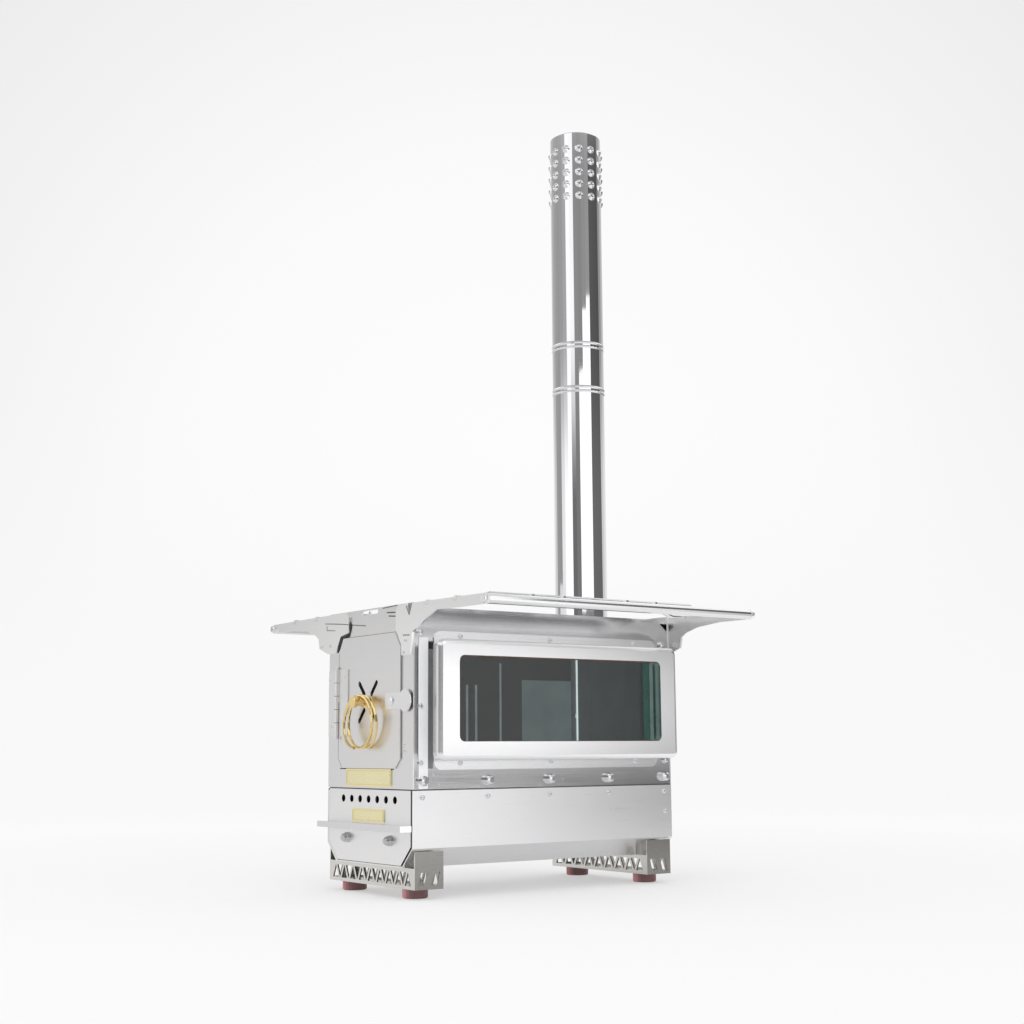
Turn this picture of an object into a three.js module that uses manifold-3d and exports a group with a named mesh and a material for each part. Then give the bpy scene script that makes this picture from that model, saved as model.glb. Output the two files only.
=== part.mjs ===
// Small steel tent stove with side windows, an ash drawer and a sectioned flue.
// Millimetres, +Z up. The front with the door faces -Y, and the long side runs along Y.
// Inside this file y = 0 is the front face of the body; the last lines move the stove
// so that the origin is under the middle of its bounding box, at floor level.
import * as THREE from "three";
import { mergeVertices } from "three/addons/utils/BufferGeometryUtils.js";
import Module from "manifold-3d";

const wasm = await Module();
wasm.setup();

// ---------------------------------------------------------------- driving dimensions

const clearance = 0.3; // running gap between pieces that move or only lie side by side

const body = {
  width: 172,
  length: 334,
  sheet: 1.5,
  bottom: 30, // underside above the floor
  chamferWidth: 19, // the 45 degree lower edges
  seam: 104.7, // top of the ash box
  panelTop: 286, // top edge of the side panels
  railTop: 290, // top edge of the front and rear plates
  topPlate: 282, // underside of the cooking plate
  cornerLength: 15, // cut off the top corners of the side panels, along them
  cornerHeight: 13,
};
const shell = { sheet: 1.2 };
const hearth = {
  thickness: 1.2,
  setBack: 0.4,
  slotWidth: 3.6,
  slotLength: body.length - 144,
  slots: 9,
  slotPitch: 13,
};
const baffle = {
  sheet: 1.5,
  front: 96,
  drop: 21, // from the cooking plate's underside to its own
};

const foot = { diameter: 25.5, height: 9.5, halfTrack: body.width / 2 - 25.75, inset: 19, chamfer: 1 };
const leg = {
  sheet: 1.5,
  inset: 3, // web behind the front face, and before the rear face
  halfWidth: body.width / 2 - 0.5,
  returnDepth: 33,
  returnTop: 46,
  topFlange: 18,
  bays: 18, // truss openings across each web
  trussMargin: 4,
  strut: 3.2,
};

const doorway = { halfWidth: body.width / 2 - 32, bottom: 137, top: 251, radius: 6 };
const door = {
  sheet: 1.5,
  halfWidth: body.width / 2 - 22,
  bottom: 126,
  top: 262,
  lowerChamfer: 10,
  upperCut: 11, // across, and
  upperDrop: 15.5, // down, of the cut upper corners
};
const hinge = {
  x: 2 - door.halfWidth,
  y: -3.7,
  bottom: 159,
  top: 229,
  knuckle: 3.2, // radius
  pin: 1.5, // radius
  pinHead: 2.5, // radius, under the lower knuckle
  pinReach: 3,
  leaf: 1.3, // thickness
  frameLeaf: 20, // width of the leaf on the frame
  doorLeaf: 18,
  notch: 0.45, // gap between the knuckles and the door's edge
};
const damper = {
  z: 193.5, // centre of the air slots and of the knob
  radius: 30,
  sheet: 1.2,
  slotWidth: 5,
  slotInner: 8.5,
  slotOuter: 28.5,
  slotAngle: 48, // degrees from the horizontal
};
const knob = { radius: 6.3, neck: 4.2, shaft: 3, base: 2.9, neckLength: 11.6, head: 4.4, chamfer: 0.9 };
const ring = { wire: 3.2, radius: 26.5, turns: 2, pitchTop: 4, pitchBottom: 6.6, steps: 48, sides: 8 };
const latch = {
  pivotX: door.halfWidth - 14,
  z: 193,
  sheet: 1.5,
  tongueLeft: door.halfWidth - 26,
  tongueHeight: 16.5,
  paddleX: door.halfWidth + 11,
  paddleRadius: 11,
  screwHead: 4,
  screwShank: 1.6,
};

const airHole = { diameter: 7.8, count: 7, pitch: 17.4, z: 95 };
const pull = { halfLength: body.width / 2 - 1.4, reach: 13.6, top: 71, bottom: 65, sheet: 1.2 };
const drawer = {
  wall: 1,
  top: 89,
  length: body.length - 16,
  sideGap: 2.6, // the dark line round the drawer's front
  floorGap: 0.8,
  trayStep: 0.2, // the tray hides behind the front
};
const drawerBolt = { x: body.width / 4, z: 55, radius: 5.2, reach: 7 };
const badge = { width: 65, height: 13.5, z: 78.8, thickness: 1, radius: 1.5 };
const namePlate = { width: 92, height: 18, z: 116.6, thickness: 1, radius: 2 };

const windowBox = {
  y: body.length / 2 + 1.75, // middle of the window along the body
  flangeBottom: 124.65,
  flangeLength: body.length - 43.5,
  flangeHeight: 137.7,
  flangeRadius: 9,
  sheet: 1.2,
  neckLength: body.length - 58,
  neckHeight: 117,
  neckReach: 15, // from the side panel out to the bezel
  openingLength: body.length - 66,
  openingHeight: 99,
  glassThickness: 4,
};
windowBox.z = windowBox.flangeBottom + windowBox.flangeHeight / 2;
const bezel = {
  length: body.length - 24,
  height: 119.4,
  radius: 8,
  depth: 11,
  edge: 4.7, // rounding of the front edge
  openingLength: body.length - 72.5,
  openingHeight: 85.3,
  openingRise: 1.4, // the lower rail is the wider one
  openingRadius: 6,
};
const capBolt = { collar: 5, collarReach: 4.6, cap: 4.3, reach: 8, z: 114, count: 5, first: 11 };

const wing = {
  sheet: 2.4,
  top: 289,
  inner: body.width / 2 - 45, // from the middle of the body
  innerCut: 5,
  shoulder: 21.5, // drops below the top edge, from the inner end outwards
  throat: 24.5,
  heel: 41.5,
  heelOut: 35,
  elbow: 24,
  fillet: 18.7,
  armpit: 13.8,
  throatX: body.width / 2 - 28,
  heelX: body.width / 2 - 17,
  heelEndX: body.width / 2 + 1,
  heelOutX: body.width / 2 + 19.5,
  elbowX: body.width / 2 + 22,
  filletX: body.width / 2 + 31,
  armpitX: body.width / 2 + 50,
  armX: body.width / 2 + 85,
  tipX: body.width / 2 + 135,
  tipDrop: 1,
  tipHeight: 9.8,
  tipRound: 3,
};
// The wing beside the latch is cut back so that it clears the door, and has a notch at its shoulder.
const latchWing = {
  inner: body.width / 2 - 30.4,
  shoulder: 25,
  slope: 40.5,
  slopeX: body.width / 2 - 19.5,
  heel: 51,
  heelX: body.width / 2 - 19,
  heelEndX: body.width / 2 - 2,
  elbow: 29,
  elbowX: body.width / 2 + 1.3,
  armpit: 9.5,
  armpitX: body.width / 2 + 44.4,
  notchX: body.width / 2 - 3.6,
  notchHalf: 5.8,
  notch: 12.2,
};
const rod = { radius: 5, x: wing.tipX - 5.4, z: 283, screw: 2.3, screwHead: 4.2, screwReach: 3.4 };
const grate = {
  bar: 2.5, // radius
  outerX: rod.x - 50.6,
  innerX: rod.x - 101.6,
  rise: 6, // the middle stands this far above the ends
  seat: 287.7, // height of the bar ends
  bendStart: 18,
  bendEnd: 37,
  cross: 2, // radius of the cross wires
  crossOverhang: 4.6,
  crossPlaces: [0.26, 0.377, 0.62, 0.737], // shares of the body's length
};

const flue = {
  radius: 30,
  wall: 0.8,
  y: body.length - 55,
  spigot: 18,
  spigotGap: 0.25,
  bead: 1.1,
  beadHeight: 3.2,
  sides: 40,
};
const collar = { flange: 41, flangeHeight: 1.5, neckHeight: 20, wall: 0.9 };
const flueJoint = { lower: 556, upper: 608.5, top: 868 };
const sparkHole = { diameter: 5, rows: 5, perRow: 12, rowPitch: 14.6, belowTop: 20.2 };

// ---------------------------------------------------------------- materials

function metal(color, roughness, metalness = 1) {
  return new THREE.MeshStandardMaterial({ color, roughness, metalness });
}
const satinSteel = metal(0xc6c6c8, 0.32);
const polishedSteel = metal(0x9b9b9f, 0.12);
const mirrorSteel = metal(0xd8d8da, 0.06);
const sheetSteel = metal(0xa9a69f, 0.38);
const darkSteel = metal(0x4a4644, 0.6);
const brass = metal(0xd9b768, 0.25);
const clayPuck = metal(0x8a4a4c, 0.7, 0);
const ceramicGlass = metal(0x2c3130, 0.05, 0);

// ---------------------------------------------------------------- solids

function solid(geometry) {
  const plain = geometry.index ? geometry.toNonIndexed() : geometry;
  plain.deleteAttribute("normal");
  plain.deleteAttribute("uv");
  const merged = mergeVertices(plain, 1e-4);
  return new wasm.Manifold(
    new wasm.Mesh({
      numProp: 3,
      vertProperties: new Float32Array(merged.attributes.position.array),
      triVerts: new Uint32Array(merged.index.array),
    }),
  );
}

function geometryOf(made) {
  const mesh = made.getMesh();
  const geometry = new THREE.BufferGeometry();
  geometry.setAttribute("position", new THREE.BufferAttribute(mesh.vertProperties, 3));
  geometry.setIndex(new THREE.BufferAttribute(mesh.triVerts, 1));
  geometry.computeVertexNormals();
  return geometry;
}

function join(first, ...others) {
  return others.reduce((sum, next) => sum.add(next), first);
}

function cut(first, ...others) {
  return others.reduce((rest, next) => rest.subtract(next), first);
}

// A box from its lowest to its highest corner.
function block(low, high) {
  const size = high.map((value, axis) => value - low[axis]);
  const geometry = new THREE.BoxGeometry(...size);
  geometry.translate(...low.map((value, axis) => value + size[axis] / 2));
  return solid(geometry);
}

function polygon(points) {
  return new THREE.Shape(points.map(([u, v]) => new THREE.Vector2(u, v)));
}

function roundedRectangle(u, v, width, height, radius) {
  const halfU = width / 2 - radius;
  const halfV = height / 2 - radius;
  const shape = new THREE.Shape();
  shape.absarc(u + halfU, v + halfV, radius, 0, Math.PI / 2);
  shape.absarc(u - halfU, v + halfV, radius, Math.PI / 2, Math.PI);
  shape.absarc(u - halfU, v - halfV, radius, Math.PI, Math.PI * 1.5);
  shape.absarc(u + halfU, v - halfV, radius, Math.PI * 1.5, Math.PI * 2);
  shape.closePath();
  return shape;
}

function disc(u, v, radius) {
  const shape = new THREE.Shape();
  shape.absarc(u, v, radius, 0, Math.PI * 2);
  return shape;
}

function extruded(shape, depth, curveSegments) {
  return new THREE.ExtrudeGeometry(shape, { depth, bevelEnabled: false, curveSegments });
}

// A plate square to Y, drawn in x and z, between two y values.
function frontPlateSolid(shape, yFront, yBack, curveSegments = 6) {
  const geometry = extruded(shape, yBack - yFront, curveSegments);
  geometry.rotateX(Math.PI / 2);
  geometry.translate(0, yBack, 0);
  return solid(geometry);
}

// A plate square to X, drawn in y and z, between two x values.
const sideways = new THREE.Matrix4().makeBasis(
  new THREE.Vector3(0, 1, 0),
  new THREE.Vector3(0, 0, 1),
  new THREE.Vector3(1, 0, 0),
);
function sidePlateSolid(shape, xLow, xHigh, curveSegments = 6) {
  const geometry = extruded(shape, xHigh - xLow, curveSegments);
  geometry.applyMatrix4(sideways);
  geometry.translate(xLow, 0, 0);
  return solid(geometry);
}

// A plate square to Z, drawn in x and y, between two z values.
function flatPlateSolid(shape, zLow, zHigh, curveSegments = 6) {
  const geometry = extruded(shape, zHigh - zLow, curveSegments);
  geometry.translate(0, 0, zLow);
  return solid(geometry);
}

// A turned piece. The profile is a closed list of [radius, height].
function turned(profile, sides) {
  const points = profile.map(([radius, height]) => new THREE.Vector2(radius, height));
  const geometry = new THREE.LatheGeometry(points, sides);
  geometry.rotateX(Math.PI / 2); // the axis goes from Y to Z
  return solid(geometry);
}

function turnedAlongZ(profile, x, y, sides) {
  return turned(profile, sides).translate([x, y, 0]);
}

// The heights of the profile point to -Y, out of the front.
function turnedToFront(profile, x, z, sides) {
  return turned(profile, sides).rotate([90, 0, 0]).translate([x, 0, z]);
}

// The heights of the profile point to +X, out of the right side.
function turnedToRight(profile, y, z, sides) {
  return turned(profile, sides).rotate([0, 90, 0]).translate([0, y, z]);
}

function mirroredX(made) {
  return made.mirror([1, 0, 0]);
}

// A round tube along a curve. Three.js gives a full circle twice the segments that it is asked for.
function tube(path, radius, sides, steps) {
  const options = { extrudePath: path, steps, curveSegments: sides / 2 };
  return solid(new THREE.ExtrudeGeometry(disc(0, 0, radius), options));
}

// A round wire in the plane of one x, with a ring of points at each corner of its [y, z] route.
function bentWire(x, route, radius, sides) {
  const positions = [];
  const index = [];
  route.forEach(([y, z], i) => {
    const before = route[Math.max(i - 1, 0)];
    const after = route[Math.min(i + 1, route.length - 1)];
    const slope = Math.atan2(after[1] - before[1], after[0] - before[0]);
    for (let k = 0; k < sides; k++) {
      const angle = ((k + 0.5) / sides) * Math.PI * 2;
      const up = radius * Math.sin(angle);
      positions.push(x + radius * Math.cos(angle), y - up * Math.sin(slope), z + up * Math.cos(slope));
      const next = (k + 1) % sides;
      const ring = i * sides;
      if (i + 1 < route.length) {
        index.push(ring + k, ring + sides + k, ring + next);
        index.push(ring + next, ring + sides + k, ring + sides + next);
      }
    }
  });
  const last = (route.length - 1) * sides;
  for (let k = 1; k + 1 < sides; k++) {
    index.push(0, k, k + 1);
    index.push(last, last + k + 1, last + k);
  }
  const geometry = new THREE.BufferGeometry();
  geometry.setAttribute("position", new THREE.Float32BufferAttribute(positions, 3));
  geometry.setIndex(index);
  return solid(geometry);
}

// ---------------------------------------------------------------- places worked out once

const halfWidth = body.width / 2;
const innerHalf = halfWidth - body.sheet;
const upperBottom = body.seam + hearth.thickness;
const rearInside = body.length - body.sheet;
const doorFront = -clearance - door.sheet;
const capBoltPitch = (body.length - 2 * capBolt.first) / (capBolt.count - 1);

// The lower front outline of the body, drawn down by a wall of the given thickness.
function ashBoxOutline(wall, top) {
  const side = halfWidth - wall;
  const floor = body.bottom + wall;
  const corner = body.chamferWidth - wall * (2 - Math.SQRT2);
  return [
    [-side, top],
    [-side, floor + corner],
    [-side + corner, floor],
    [side - corner, floor],
    [side, floor + corner],
    [side, top],
  ];
}

// ---------------------------------------------------------------- body

function lowerShell() {
  const outer = frontPlateSolid(polygon(ashBoxOutline(0, body.seam)), 0, body.length);
  const inside = frontPlateSolid(
    polygon(ashBoxOutline(shell.sheet, body.seam + shell.sheet)),
    -shell.sheet,
    body.length - shell.sheet,
  );
  return cut(outer, inside);
}

function hearthPlate() {
  const side = halfWidth - hearth.setBack;
  let plate = block(
    [-side, body.sheet + hearth.setBack, body.seam],
    [side, body.length - hearth.setBack, upperBottom],
  );
  for (let i = 0; i < hearth.slots; i++) {
    const x = (i - (hearth.slots - 1) / 2) * hearth.slotPitch;
    const radius = hearth.slotWidth / 2.01;
    const slot = roundedRectangle(x, body.length / 2, hearth.slotWidth, hearth.slotLength, radius);
    plate = cut(plate, flatPlateSolid(slot, body.seam - 1, upperBottom + 1, 3));
  }
  return plate;
}

function frontPlate() {
  const railSlot = { width: 33, height: 4.4, below: 1.5 };
  const plate = block([-halfWidth, 0, upperBottom], [halfWidth, body.sheet, body.railTop]);
  const opening = roundedRectangle(
    0,
    (doorway.bottom + doorway.top) / 2,
    doorway.halfWidth * 2,
    doorway.top - doorway.bottom,
    doorway.radius,
  );
  const slotZ = body.railTop - railSlot.below - railSlot.height / 2;
  const slot = roundedRectangle(0, slotZ, railSlot.width, railSlot.height, railSlot.height / 2.01);
  return cut(
    plate,
    frontPlateSolid(opening, -1, body.sheet + 1, 3),
    frontPlateSolid(slot, -1, body.sheet + 1, 4),
  );
}

function rearPlate() {
  return block([-halfWidth, rearInside, upperBottom], [halfWidth, body.length, body.railTop]);
}

function rightSidePanel() {
  const cornerFoot = body.panelTop - body.cornerHeight;
  const outline = polygon([
    [body.sheet, upperBottom],
    [rearInside, upperBottom],
    [rearInside, cornerFoot],
    [rearInside - body.cornerLength, body.panelTop],
    [body.sheet + body.cornerLength, body.panelTop],
    [body.sheet, cornerFoot],
  ]);
  const plate = sidePlateSolid(outline, innerHalf, halfWidth);
  const opening = roundedRectangle(
    windowBox.y,
    windowBox.z,
    windowBox.openingLength,
    windowBox.openingHeight,
    bezel.openingRadius,
  );
  return cut(plate, sidePlateSolid(opening, innerHalf - 1, halfWidth + 1, 3));
}

function topPlate() {
  const upperFace = body.topPlate + body.sheet;
  const plate = block([-innerHalf, body.sheet, body.topPlate], [innerHalf, rearInside, upperFace]);
  const bore = flue.radius - flue.wall - flue.spigotGap - collar.wall;
  const hole = flatPlateSolid(disc(0, flue.y, bore), body.topPlate - 1, upperFace + 1, flue.sides / 2);
  return cut(plate, hole);
}

function flueCollar() {
  const foot = body.topPlate + body.sheet;
  const outer = flue.radius - flue.wall - flue.spigotGap;
  const bore = outer - collar.wall;
  const profile = [
    [bore, foot],
    [collar.flange, foot],
    [collar.flange, foot + collar.flangeHeight],
    [outer, foot + collar.flangeHeight],
    [outer, foot + collar.neckHeight],
    [bore, foot + collar.neckHeight],
    [bore, foot],
  ];
  return turnedAlongZ(profile, 0, flue.y, flue.sides);
}

function smokeBaffle() {
  return block(
    [-innerHalf, baffle.front, body.topPlate - baffle.drop],
    [innerHalf, rearInside, body.topPlate - baffle.drop + baffle.sheet],
  );
}

// ---------------------------------------------------------------- windows

function windowTray() {
  const outer = halfWidth + windowBox.neckReach;
  const flange = sidePlateSolid(
    roundedRectangle(
      windowBox.y,
      windowBox.z,
      windowBox.flangeLength,
      windowBox.flangeHeight,
      windowBox.flangeRadius,
    ),
    halfWidth,
    halfWidth + windowBox.sheet,
    4,
  );
  const neckShape = (inset) =>
    roundedRectangle(
      windowBox.y,
      windowBox.z,
      windowBox.neckLength - 2 * inset,
      windowBox.neckHeight - 2 * inset,
      bezel.openingRadius - inset,
    );
  const neck = sidePlateSolid(neckShape(0), halfWidth, outer, 3);
  const bore = sidePlateSolid(neckShape(windowBox.sheet), halfWidth - 1, outer + 1, 3);
  return cut(join(flange, neck), bore);
}

function windowGlass() {
  const front = halfWidth + windowBox.neckReach; // the pane bears on the bezel
  const inset = windowBox.sheet + clearance;
  return sidePlateSolid(
    roundedRectangle(
      windowBox.y,
      windowBox.z,
      windowBox.neckLength - 2 * inset,
      windowBox.neckHeight - 2 * inset,
      bezel.openingRadius - inset,
    ),
    front - windowBox.glassThickness,
    front,
    2,
  );
}

function windowBezel() {
  const back = halfWidth + windowBox.neckReach;
  const shape = roundedRectangle(
    windowBox.y,
    windowBox.z,
    bezel.length - 2 * bezel.edge,
    bezel.height - 2 * bezel.edge,
    bezel.radius - bezel.edge,
  );
  const geometry = new THREE.ExtrudeGeometry(shape, {
    depth: bezel.depth,
    bevelEnabled: true,
    bevelSize: bezel.edge,
    bevelThickness: bezel.edge,
    bevelSegments: 3,
    curveSegments: 3,
  });
  geometry.applyMatrix4(sideways);
  geometry.translate(back - bezel.edge, 0, 0);
  const reach = bezel.length;
  const behind = block(
    [back - 2 * bezel.edge - 1, windowBox.y - reach, windowBox.z - reach],
    [back, windowBox.y + reach, windowBox.z + reach],
  );
  const opening = sidePlateSolid(
    roundedRectangle(
      windowBox.y,
      windowBox.z + bezel.openingRise,
      bezel.openingLength,
      bezel.openingHeight,
      bezel.openingRadius,
    ),
    back - 1,
    back + bezel.depth + 1,
    4,
  );
  return cut(solid(geometry), behind, opening);
}

function capBoltSolid(y) {
  const profile = [
    [0, halfWidth],
    [capBolt.collar, halfWidth],
    [capBolt.collar, halfWidth + capBolt.collarReach],
    [capBolt.cap, halfWidth + capBolt.collarReach],
    [capBolt.cap, halfWidth + capBolt.reach - 2],
    [capBolt.cap - 1.6, halfWidth + capBolt.reach],
    [0, halfWidth + capBolt.reach],
  ];
  return turnedToRight(profile, y, capBolt.z, 12);
}

// ---------------------------------------------------------------- side racks

// The lower edge of a wing, from its inner end to its arm.
const plainHeel = [
  [wing.inner, wing.shoulder],
  [wing.throatX, wing.throat],
  [wing.heelX, wing.heel],
  [wing.heelEndX, wing.heel],
  [wing.heelOutX, wing.heelOut],
  [wing.elbowX, wing.elbow],
  [wing.filletX, wing.fillet],
  [wing.armpitX, wing.armpit],
];
const latchHeel = [
  [latchWing.inner, latchWing.shoulder],
  [latchWing.slopeX, latchWing.slope],
  [latchWing.heelX, latchWing.heel],
  [latchWing.heelEndX, latchWing.heel],
  [latchWing.elbowX, latchWing.elbow],
  [latchWing.armpitX, latchWing.armpit],
];

function wingOutline(heel) {
  const inner = heel[0][0];
  const tipTop = wing.top - wing.tipDrop;
  const tipBottom = tipTop - wing.tipHeight;
  return polygon([
    [inner, wing.top - wing.innerCut],
    ...heel.map(([x, drop]) => [x, wing.top - drop]),
    [wing.armX, tipBottom],
    [wing.tipX - wing.tipRound, tipBottom],
    [wing.tipX, tipBottom + wing.tipRound],
    [wing.tipX, tipTop - wing.tipRound],
    [wing.tipX - wing.tipRound, tipTop],
    [wing.elbowX, wing.top],
    [inner + wing.innerCut, wing.top],
  ]);
}

function rightWing(yLow, heel) {
  const yHigh = yLow + wing.sheet;
  const plate = frontPlateSolid(wingOutline(heel), yLow, yHigh);
  const screwHole = frontPlateSolid(disc(rod.x, rod.z, rod.screw + clearance), yLow - 1, yHigh + 1, 6);
  const seats = [grate.innerX, grate.outerX].map((x) => {
    const wide = grate.bar + clearance;
    const round = frontPlateSolid(disc(x, grate.seat, wide), yLow - 1, yHigh + 1, 6);
    const mouth = block([x - wide, yLow - 1, grate.seat], [x + wide, yHigh + 1, wing.top + wide]);
    return join(round, mouth);
  });
  return cut(plate, screwHole, ...seats);
}

function latchSideWing() {
  const notch = polygon([
    [latchWing.notchX - latchWing.notchHalf, wing.top + 1],
    [latchWing.notchX, wing.top - latchWing.notch],
    [latchWing.notchX + latchWing.notchHalf, wing.top + 1],
  ]);
  const cutter = frontPlateSolid(notch, -wing.sheet - 1, 1);
  return cut(rightWing(-wing.sheet, latchHeel), cutter);
}

function rightRod() {
  const head = wing.sheet + rod.screwReach;
  const rear = body.length;
  const profile = [
    [0, -head],
    [rod.screwHead - 1, -head],
    [rod.screwHead, -head + 1],
    [rod.screwHead, -wing.sheet],
    [rod.screw, -wing.sheet],
    [rod.screw, 0],
    [rod.radius, 0],
    [rod.radius, rear],
    [rod.screw, rear],
    [rod.screw, rear + wing.sheet],
    [rod.screwHead, rear + wing.sheet],
    [rod.screwHead, rear + head - 1],
    [rod.screwHead - 1, rear + head],
    [0, rear + head],
  ];
  return turned(profile, 16).rotate([-90, 0, 0]).translate([rod.x, 0, rod.z]);
}

function rightGrate() {
  const high = grate.seat + grate.rise;
  const route = [
    [-wing.sheet, grate.seat],
    [grate.bendStart, grate.seat],
    [grate.bendEnd, high],
    [body.length - grate.bendEnd, high],
    [body.length - grate.bendStart, grate.seat],
    [body.length + wing.sheet, grate.seat],
  ];
  const bars = [grate.innerX, grate.outerX].map((x) => bentWire(x, route, grate.bar, 10));
  const wires = grate.crossPlaces.map((share) => {
    const y = share * body.length;
    const ends = [grate.innerX - grate.crossOverhang, grate.outerX + grate.crossOverhang];
    const [start, end] = ends.map((x) => new THREE.Vector3(x, y, high));
    return tube(new THREE.LineCurve3(start, end), grate.cross, 8, 1);
  });
  return join(...bars, ...wires);
}

// ---------------------------------------------------------------- legs and feet

function frontLeg() {
  const front = leg.inset;
  const back = front + leg.sheet;
  const web = block([-leg.halfWidth, front, foot.height], [leg.halfWidth, back, body.bottom]);
  const low = foot.height + leg.sheet + leg.trussMargin / 2;
  const high = body.bottom - leg.trussMargin;
  const bay = (2 * leg.halfWidth - 2 * leg.trussMargin) / leg.bays;
  const end = front + leg.returnDepth;
  const openings = [];
  for (let i = 0; i < leg.bays; i++) {
    const left = -leg.halfWidth + leg.trussMargin + i * bay + leg.strut / 2;
    const right = left + 2 * bay - leg.strut;
    if (right > leg.halfWidth - leg.trussMargin) continue;
    const middle = (left + right) / 2;
    const flat = leg.strut / 2;
    const up = [
      [left + flat, low],
      [right - flat, low],
      [middle, high],
    ];
    const down = [
      [left + flat, high],
      [middle, low],
      [right - flat, high],
    ];
    openings.push(frontPlateSolid(polygon(i % 2 ? down : up), front - 1, back + 1));
  }
  const sideReturns = [-1, 1].map((side) => {
    const inside = side * (leg.halfWidth - leg.sheet);
    const outside = side * leg.halfWidth;
    const plate = sidePlateSolid(
      polygon([
        [front, foot.height],
        [end, foot.height],
        [end, leg.returnTop],
        [front, leg.returnTop],
      ]),
      Math.min(inside, outside),
      Math.max(inside, outside),
    );
    const third = (end - front - 3 * leg.trussMargin) / 2;
    const windows = [0, 1].map((i) => {
      const start = front + leg.trussMargin + i * (third + leg.trussMargin) + leg.strut;
      return sidePlateSolid(
        polygon([
          [start - leg.strut, low],
          [start + third - 2 * leg.strut, low],
          [start + third - leg.strut, high],
          [start, high],
        ]),
        Math.min(inside, outside) - 1,
        Math.max(inside, outside) + 1,
      );
    });
    return cut(plate, ...windows);
  });
  const topFlange = block(
    [-halfWidth + body.chamferWidth, front, body.bottom - leg.sheet],
    [halfWidth - body.chamferWidth, front + leg.topFlange, body.bottom],
  );
  const floor = block(
    [-leg.halfWidth, front, foot.height],
    [leg.halfWidth, end, foot.height + leg.sheet],
  );
  const truss = cut(web, ...openings);
  const backTruss = truss.translate([0, end - back, 0]);
  return join(truss, backTruss, ...sideReturns, topFlange, floor);
}

function rearLeg() {
  return frontLeg().mirror([0, 1, 0]).translate([0, body.length, 0]);
}

function footPuck(x, y) {
  const radius = foot.diameter / 2;
  const profile = [
    [0, 0],
    [radius - foot.chamfer, 0],
    [radius, foot.chamfer],
    [radius, foot.height - foot.chamfer],
    [radius - foot.chamfer, foot.height],
    [0, foot.height],
  ];
  return turnedAlongZ(profile, x, y, 24);
}

// ---------------------------------------------------------------- door

function doorOutline() {
  const knuckleSide = hinge.x + hinge.knuckle + hinge.notch;
  const notchBottom = hinge.bottom - hinge.pinReach - hinge.notch;
  return polygon([
    [-door.halfWidth + door.lowerChamfer, door.bottom],
    [door.halfWidth - door.lowerChamfer, door.bottom],
    [door.halfWidth, door.bottom + door.lowerChamfer],
    [door.halfWidth, door.top - door.upperDrop],
    [door.halfWidth - door.upperCut, door.top],
    [-door.halfWidth + door.upperCut, door.top],
    [hinge.x, door.top - door.upperDrop],
    [hinge.x, hinge.top + hinge.notch],
    [knuckleSide, hinge.top + hinge.notch],
    [knuckleSide, notchBottom],
    [hinge.x, notchBottom],
    [hinge.x, door.bottom + door.lowerChamfer],
  ]);
}

// The four arms of the X, as cutters through the given y range.
function airSlots(yFront, yBack) {
  const length = damper.slotOuter - damper.slotInner;
  const arm = roundedRectangle(
    damper.slotInner + length / 2,
    0,
    length,
    damper.slotWidth,
    damper.slotWidth / 2.01,
  );
  const angles = [damper.slotAngle, 180 - damper.slotAngle, 180 + damper.slotAngle, -damper.slotAngle];
  return angles.map((angle) =>
    frontPlateSolid(arm, yFront, yBack, 3).rotate([0, -angle, 0]).translate([0, 0, damper.z]),
  );
}

function doorPanel() {
  const back = -clearance;
  const plate = frontPlateSolid(doorOutline(), doorFront, back);
  const bore = frontPlateSolid(disc(0, damper.z, knob.shaft + clearance), doorFront - 1, back + 1, 8);
  return cut(plate, bore, ...airSlots(doorFront - 1, back + 1));
}

function damperPlate() {
  const plate = frontPlateSolid(disc(0, damper.z, damper.radius), 0, damper.sheet, 16);
  return cut(plate, ...airSlots(-1, damper.sheet + 1));
}

function knuckleBarrel(zLow, zHigh) {
  const wall = [
    [hinge.pin + clearance / 2, zLow],
    [hinge.knuckle, zLow],
    [hinge.knuckle, zHigh],
    [hinge.pin + clearance / 2, zHigh],
    [hinge.pin + clearance / 2, zLow],
  ];
  return turnedAlongZ(wall, hinge.x, hinge.y, 16);
}

const hingeMiddle = (hinge.bottom + hinge.top) / 2;

function hingeBore() {
  const profile = [
    [0, hinge.bottom - 1],
    [hinge.pin + clearance / 2, hinge.bottom - 1],
    [hinge.pin + clearance / 2, hinge.top + 1],
    [0, hinge.top + 1],
  ];
  return turnedAlongZ(profile, hinge.x, hinge.y, 16);
}

function hingeFrameLeaf() {
  const leafEdge = hinge.x - hinge.knuckle + 0.6;
  const zHigh = hingeMiddle - clearance / 2;
  const leaf = block([leafEdge - hinge.frameLeaf, -hinge.leaf, hinge.bottom], [leafEdge, 0, hinge.top]);
  const web = block([leafEdge - 2, hinge.y, hinge.bottom], [hinge.x, 0, zHigh]);
  const barrel = turnedAlongZ(
    [
      [0, hinge.bottom],
      [hinge.knuckle, hinge.bottom],
      [hinge.knuckle, zHigh],
      [0, zHigh],
    ],
    hinge.x,
    hinge.y,
    16,
  );
  const doorRoom = block(
    [leafEdge - 1.2, -hinge.knuckle * 2 + hinge.y, zHigh],
    [hinge.x + hinge.knuckle, 1, hinge.top + 1],
  );
  return cut(join(cut(leaf, doorRoom), join(web, barrel)), hingeBore(), block(
    [hinge.x - 1, 0, hinge.bottom - 1],
    [hinge.x + hinge.knuckle + 1, body.sheet, hinge.top + 1],
  ));
}

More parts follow.
